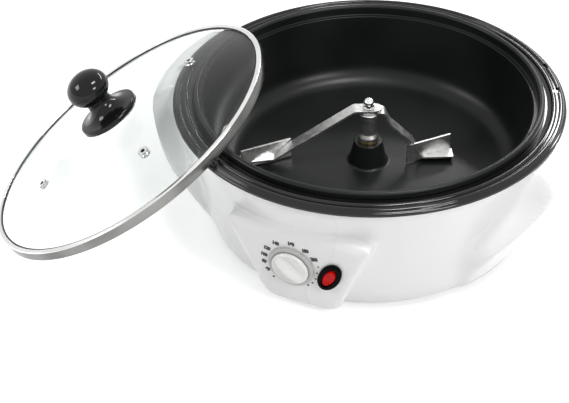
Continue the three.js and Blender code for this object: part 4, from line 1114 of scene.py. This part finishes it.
def make_glass(place):
    radii = np.linspace(LID_SCREW_BORE, GLASS_FLAT_RADIUS, GLASS_RINGS)
    under = [(r, dome_height(r)) for r in radii]
    over = [(r, z + GLASS_THICKNESS) for r, z in reversed(under)]
    start = GLASS_FLAT_RADIUS + OVERRUN
    top = GLASS_UNDERSIDE + GLASS_THICKNESS
    rim = rounded([
        (start, GLASS_UNDERSIDE, 0), (GLASS_RADIUS, GLASS_UNDERSIDE, GLASS_EDGE_ROUND),
        (GLASS_RADIUS, top, GLASS_EDGE_ROUND), (start, top, 0),
    ])
    shape = revolve([*under, *rim, *over], RING_STEPS)
    glass = finish_mesh("glass_dome", shape, "lid", GLASS, ["lid_glass"], place)
    reach = (-GLASS_THICKNESS, 2 * GLASS_THICKNESS)
    carve(glass, [round_cutter(VENT_TUBE + GAP, *reach, place @ vent) for vent in vent_places()])


def make_band(place):
    """A steel band with a folded lip over the glass and a shelf under it, its outer wall darker as painted
    shade and reflection.
    """
    inner = LID_RADIUS - BAND_SHEET
    lip_bottom = GLASS_UNDERSIDE + GLASS_THICKNESS + GAP
    lip_top = lip_bottom + BAND_SHEET
    lip_inner = LID_RADIUS - BAND_LIP
    shelf_top = BAND_SHELF + BAND_SHEET
    outline = rounded([
        (inner, 0, EDGE), (LID_RADIUS, 0, EDGE), (LID_RADIUS, BAND_HEIGHT, BAND_TOP_ROUND),
        (inner, lip_top, BAND_LIP_ROUND), (lip_inner, lip_top, EDGE),
        (lip_inner, lip_bottom, FINE_EDGE), (inner, lip_bottom, 0), (inner, shelf_top, 0),
        (lip_inner, shelf_top, EDGE), (lip_inner, BAND_SHELF, EDGE), (inner, BAND_SHELF, 0),
    ])
    shape = revolve(outline, RING_STEPS)
    band = finish_mesh("steel_band", shape, "lid", POLISHED_STEEL, ["lid_band"], place)
    outside = LID_RADIUS - EDGE
    # The outer wall gets the darker copy of the steel, as painted shade and reflection
    repaint(band, place, BAND_WALL_PAINTED_SHADE, lambda radius, height: radius > outside and height < BAND_HEIGHT)


def make_shade_bead(place):
    """Dark bead of painted shade along the inside of the band's lip, where it meets the glass."""
    reach = LID_RADIUS - BAND_LIP - BEAD_HALF - FINE_EDGE
    centre = (reach, GLASS_UNDERSIDE + GLASS_THICKNESS + BEAD_RISE)
    outline = arc(centre, (BEAD_HALF, BEAD_RISE), 0, BEAD_ARC, BEAD_ARC_STEPS)
    finish_mesh("lid_shade_bead", revolve(outline, RING_STEPS), "lid", RUBBER_AND_PAINTED_SHADE, place=place)


def make_vents(place):
    """Four steel eyelets, their outer rim darker and their hole black, both as painted shade."""
    bottom = -GAP - VENT_FLANGE_HEIGHT
    seat = GLASS_THICKNESS + GAP
    top = seat + VENT_FLANGE_HEIGHT
    outline = rounded([
        (VENT_BORE, bottom, EDGE), (VENT_FLANGE, bottom, EDGE), (VENT_FLANGE, -GAP, FINE_EDGE),
        (VENT_TUBE, -GAP, 0), (VENT_TUBE, seat, 0), (VENT_FLANGE, seat, EDGE),
        (VENT_FLANGE - EDGE, top, VENT_ROUND), (VENT_BORE, top, VENT_ROUND),
    ])
    shape = revolve(outline, VENT_STEPS)
    for number, vent in enumerate(vent_places(), 1):
        spot = place @ vent
        name, solid = f"vent_eyelet_{number}", f"vent_grommet_{number}"
        eyelet = finish_mesh(name, shape, "lid", POLISHED_STEEL, [solid], spot)
        # Painted shade: a darker rim round each eyelet and a black lining in its hole
        repaint(eyelet, spot, EYELET_RIM_PAINTED_SHADE, lambda radius, height: radius > VENT_FLANGE - 2 * EDGE)
        repaint(eyelet, spot, RUBBER_AND_PAINTED_SHADE, lambda radius, height: radius < VENT_BORE + EDGE)


def make_lid_knob(place):
    """A flange that sweeps up in a hollow curve to a flattened ball."""
    bottom = GLASS_TOP + 2 * GAP + KNOB_PLATE_THICKNESS
    edge = bottom + LID_KNOB_EDGE
    neck = bottom + LID_KNOB_NECK_HEIGHT
    ball = bottom + LID_KNOB_HEIGHT - LID_KNOB_BALL_RISE
    shoulder_radius = LID_KNOB_FLANGE - LID_KNOB_SHOULDER
    sweep = (shoulder_radius - LID_KNOB_NECK, neck - edge - LID_KNOB_BEVEL)
    start = -math.degrees(math.acos(LID_KNOB_NECK / LID_KNOB_BALL))
    outline = [
        (LID_SCREW_BORE, bottom), (LID_KNOB_FLANGE - LID_KNOB_BEVEL, bottom),
        (LID_KNOB_FLANGE - FINE_EDGE, bottom + FINE_EDGE), (LID_KNOB_FLANGE, bottom + LID_KNOB_BEVEL),
        (LID_KNOB_FLANGE, edge - FINE_EDGE), (LID_KNOB_FLANGE - EDGE, edge + EDGE),
        *arc((shoulder_radius, neck), sweep, NECK_START, 180, NECK_ARC_STEPS),
        *arc((0, ball), (LID_KNOB_BALL, LID_KNOB_BALL_RISE), start, CROWN_END, CROWN_ARC_STEPS),
        (FINE_EDGE, bottom + LID_KNOB_HEIGHT), (FINE_EDGE, bottom + LID_SCREW_REACH),
        (LID_SCREW_BORE, bottom + LID_SCREW_REACH),
    ]
    shape = revolve(outline, MID_STEPS)
    finish_mesh("knob_ball", shape, "lid", BLACK_GLOSS, ["lid_knob"], place)


# Solids that keep their shape and get a material and soft edges
def numbered(name, count):
    return [f"{name}_{number + 1}" for number in range(count)]


KEPT = [
    (ZINC, ["base_plate", "gear_motor", "motor_bracket", "thermostat_spindle"]),
    (ZINC, numbered("base_screw", FOOT_COUNT) + numbered("shield_post", POST_COUNT)),
    (BRIGHT_STEEL, ["drive_shaft", "stirrer_arm_long", "stirrer_arm_short"]),
    (POLISHED_STEEL, ["knob_plate", "lid_screw"]),
    (BLACK_MATT, ["thermal_cutout", "thermostat_body"]),
    (CERAMIC, ["terminal_block"]),
    (SHEATH, ["heating_element"]),
    (SHIELD, ["heat_shield"]),
    (BRASS, ["shaft_bush"]),
]


def dress_solid(name, material):
    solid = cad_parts[name]
    solid.data.materials.clear()
    solid.data.materials.append(material)
    weld = solid.modifiers.new("weld", "WELD")
    weld.merge_threshold = KEPT_WELD * MM
    bevel = solid.modifiers.new("bevel", "BEVEL")
    bevel.width = KEPT_BEVEL * MM
    bevel.segments = KEPT_BEVEL_STEPS
    bevel.limit_method = "ANGLE"
    bevel.angle_limit = math.radians(KEPT_BEVEL_ANGLE)
    bevel.harden_normals = False


def dress_kept_solids():
    for material, names in KEPT:
        for name in names:
            dress_solid(name, material)


# Camera, floor and light
def make_camera():
    azimuth, elevation, roll = (math.radians(a) for a in (CAMERA_AZIMUTH, CAMERA_ELEVATION, CAMERA_ROLL))
    level_share = math.cos(elevation)
    back = Vector((math.sin(azimuth) * level_share, -math.cos(azimuth) * level_share, math.sin(elevation)))
    right = Vector((math.cos(azimuth), math.sin(azimuth), 0))
    up = back.cross(right)
    side = right * math.cos(roll) + up * math.sin(roll)
    top = up * math.cos(roll) - right * math.sin(roll)
    data = bpy.data.cameras.new("camera")
    data.sensor_width = SENSOR_WIDTH
    data.lens = SENSOR_WIDTH * FOCAL_PIXELS / IMAGE_WIDTH
    camera = add_object("camera", data)
    camera.matrix_world = shift(*CAMERA_PLACE) @ Matrix((side, top, back)).transposed().to_4x4()
    bpy.context.scene.camera = camera


def make_floor():
    """A white floor that glows more with distance for rays that see it, and keeps the shadow."""
    reach = FLOOR_REACH
    corners = level([(-reach, -reach), (reach, -reach), (reach, reach), (-reach, reach)], TABLE_HEIGHT)
    floor = add_object("floor", metre_mesh("floor", corners, [tuple(range(len(corners)))]))
    nodes = Nodes(bpy.data.materials.new("floor_white"))
    shader = nodes.named("Principled BSDF")
    nodes.fill(
        shader, Base_Color=colour(*FLOOR_SHADE), Roughness=FLOOR_ROUGHNESS, Specular_IOR_Level=FLOOR_SPECULAR,
    )
    distance = nodes.add("ShaderNodeVectorMath", operation="LENGTH")
    nodes.join(nodes.add("ShaderNodeTexCoord").outputs["Object"], distance.inputs[0])
    spread = nodes.add(
        "ShaderNodeMapRange", Value=distance.outputs["Value"],
        From_Min=FLOOR_NEAR * MM, From_Max=FLOOR_FAR * MM, To_Min=FLOOR_GLOW, To_Max=1,
    )
    seen = nodes.any_ray(*SEEN_RAYS)
    strength = nodes.combine("ShaderNodeMath", (0, 1), seen, spread.outputs["Result"], operation="MULTIPLY")
    glow = nodes.add("ShaderNodeEmission", Color=colour(1, 1, 1), Strength=strength)
    surface = nodes.combine("ShaderNodeAddShader", (0, 1), shader.outputs["BSDF"], glow.outputs["Emission"])
    nodes.join(surface, nodes.named("Material Output").inputs["Surface"])
    floor.data.materials.append(nodes.owner)


def make_world():
    """White where a ray sees it, and a fainter light on the object."""
    world = bpy.data.worlds.new("studio")
    bpy.context.scene.world = world
    nodes = Nodes(world)
    seen = nodes.any_ray(*SEEN_RAYS)
    spread = nodes.add("ShaderNodeMapRange", Value=seen, To_Min=WORLD_STRENGTH, To_Max=1)
    nodes.fill(nodes.named("Background"), Color=colour(1, 1, 1), Strength=spread.outputs["Result"])


def make_lamp(name, place, target, size, power):
    data = bpy.data.lights.new(name, "AREA")
    data.shape = "RECTANGLE"
    data.size, data.size_y = metres(size)
    data.energy = power
    lamp = add_object(name, data)
    lamp.location = metres(place)
    lamp.rotation_mode = "QUATERNION"
    lamp.rotation_quaternion = (Vector(metres(target)) - Vector(metres(place))).to_track_quat("-Z", "Y")


def make_stage():
    bpy.context.scene.view_settings.view_transform = "Standard"
    make_camera()
    make_floor()
    make_world()
    for lamp in LAMPS:
        make_lamp(*lamp)


make_housing()
make_ring()
make_pan()
make_feet()
make_stirrer()
make_dial()
make_switch()
make_scale()
make_lid()
dress_kept_solids()
make_stage()
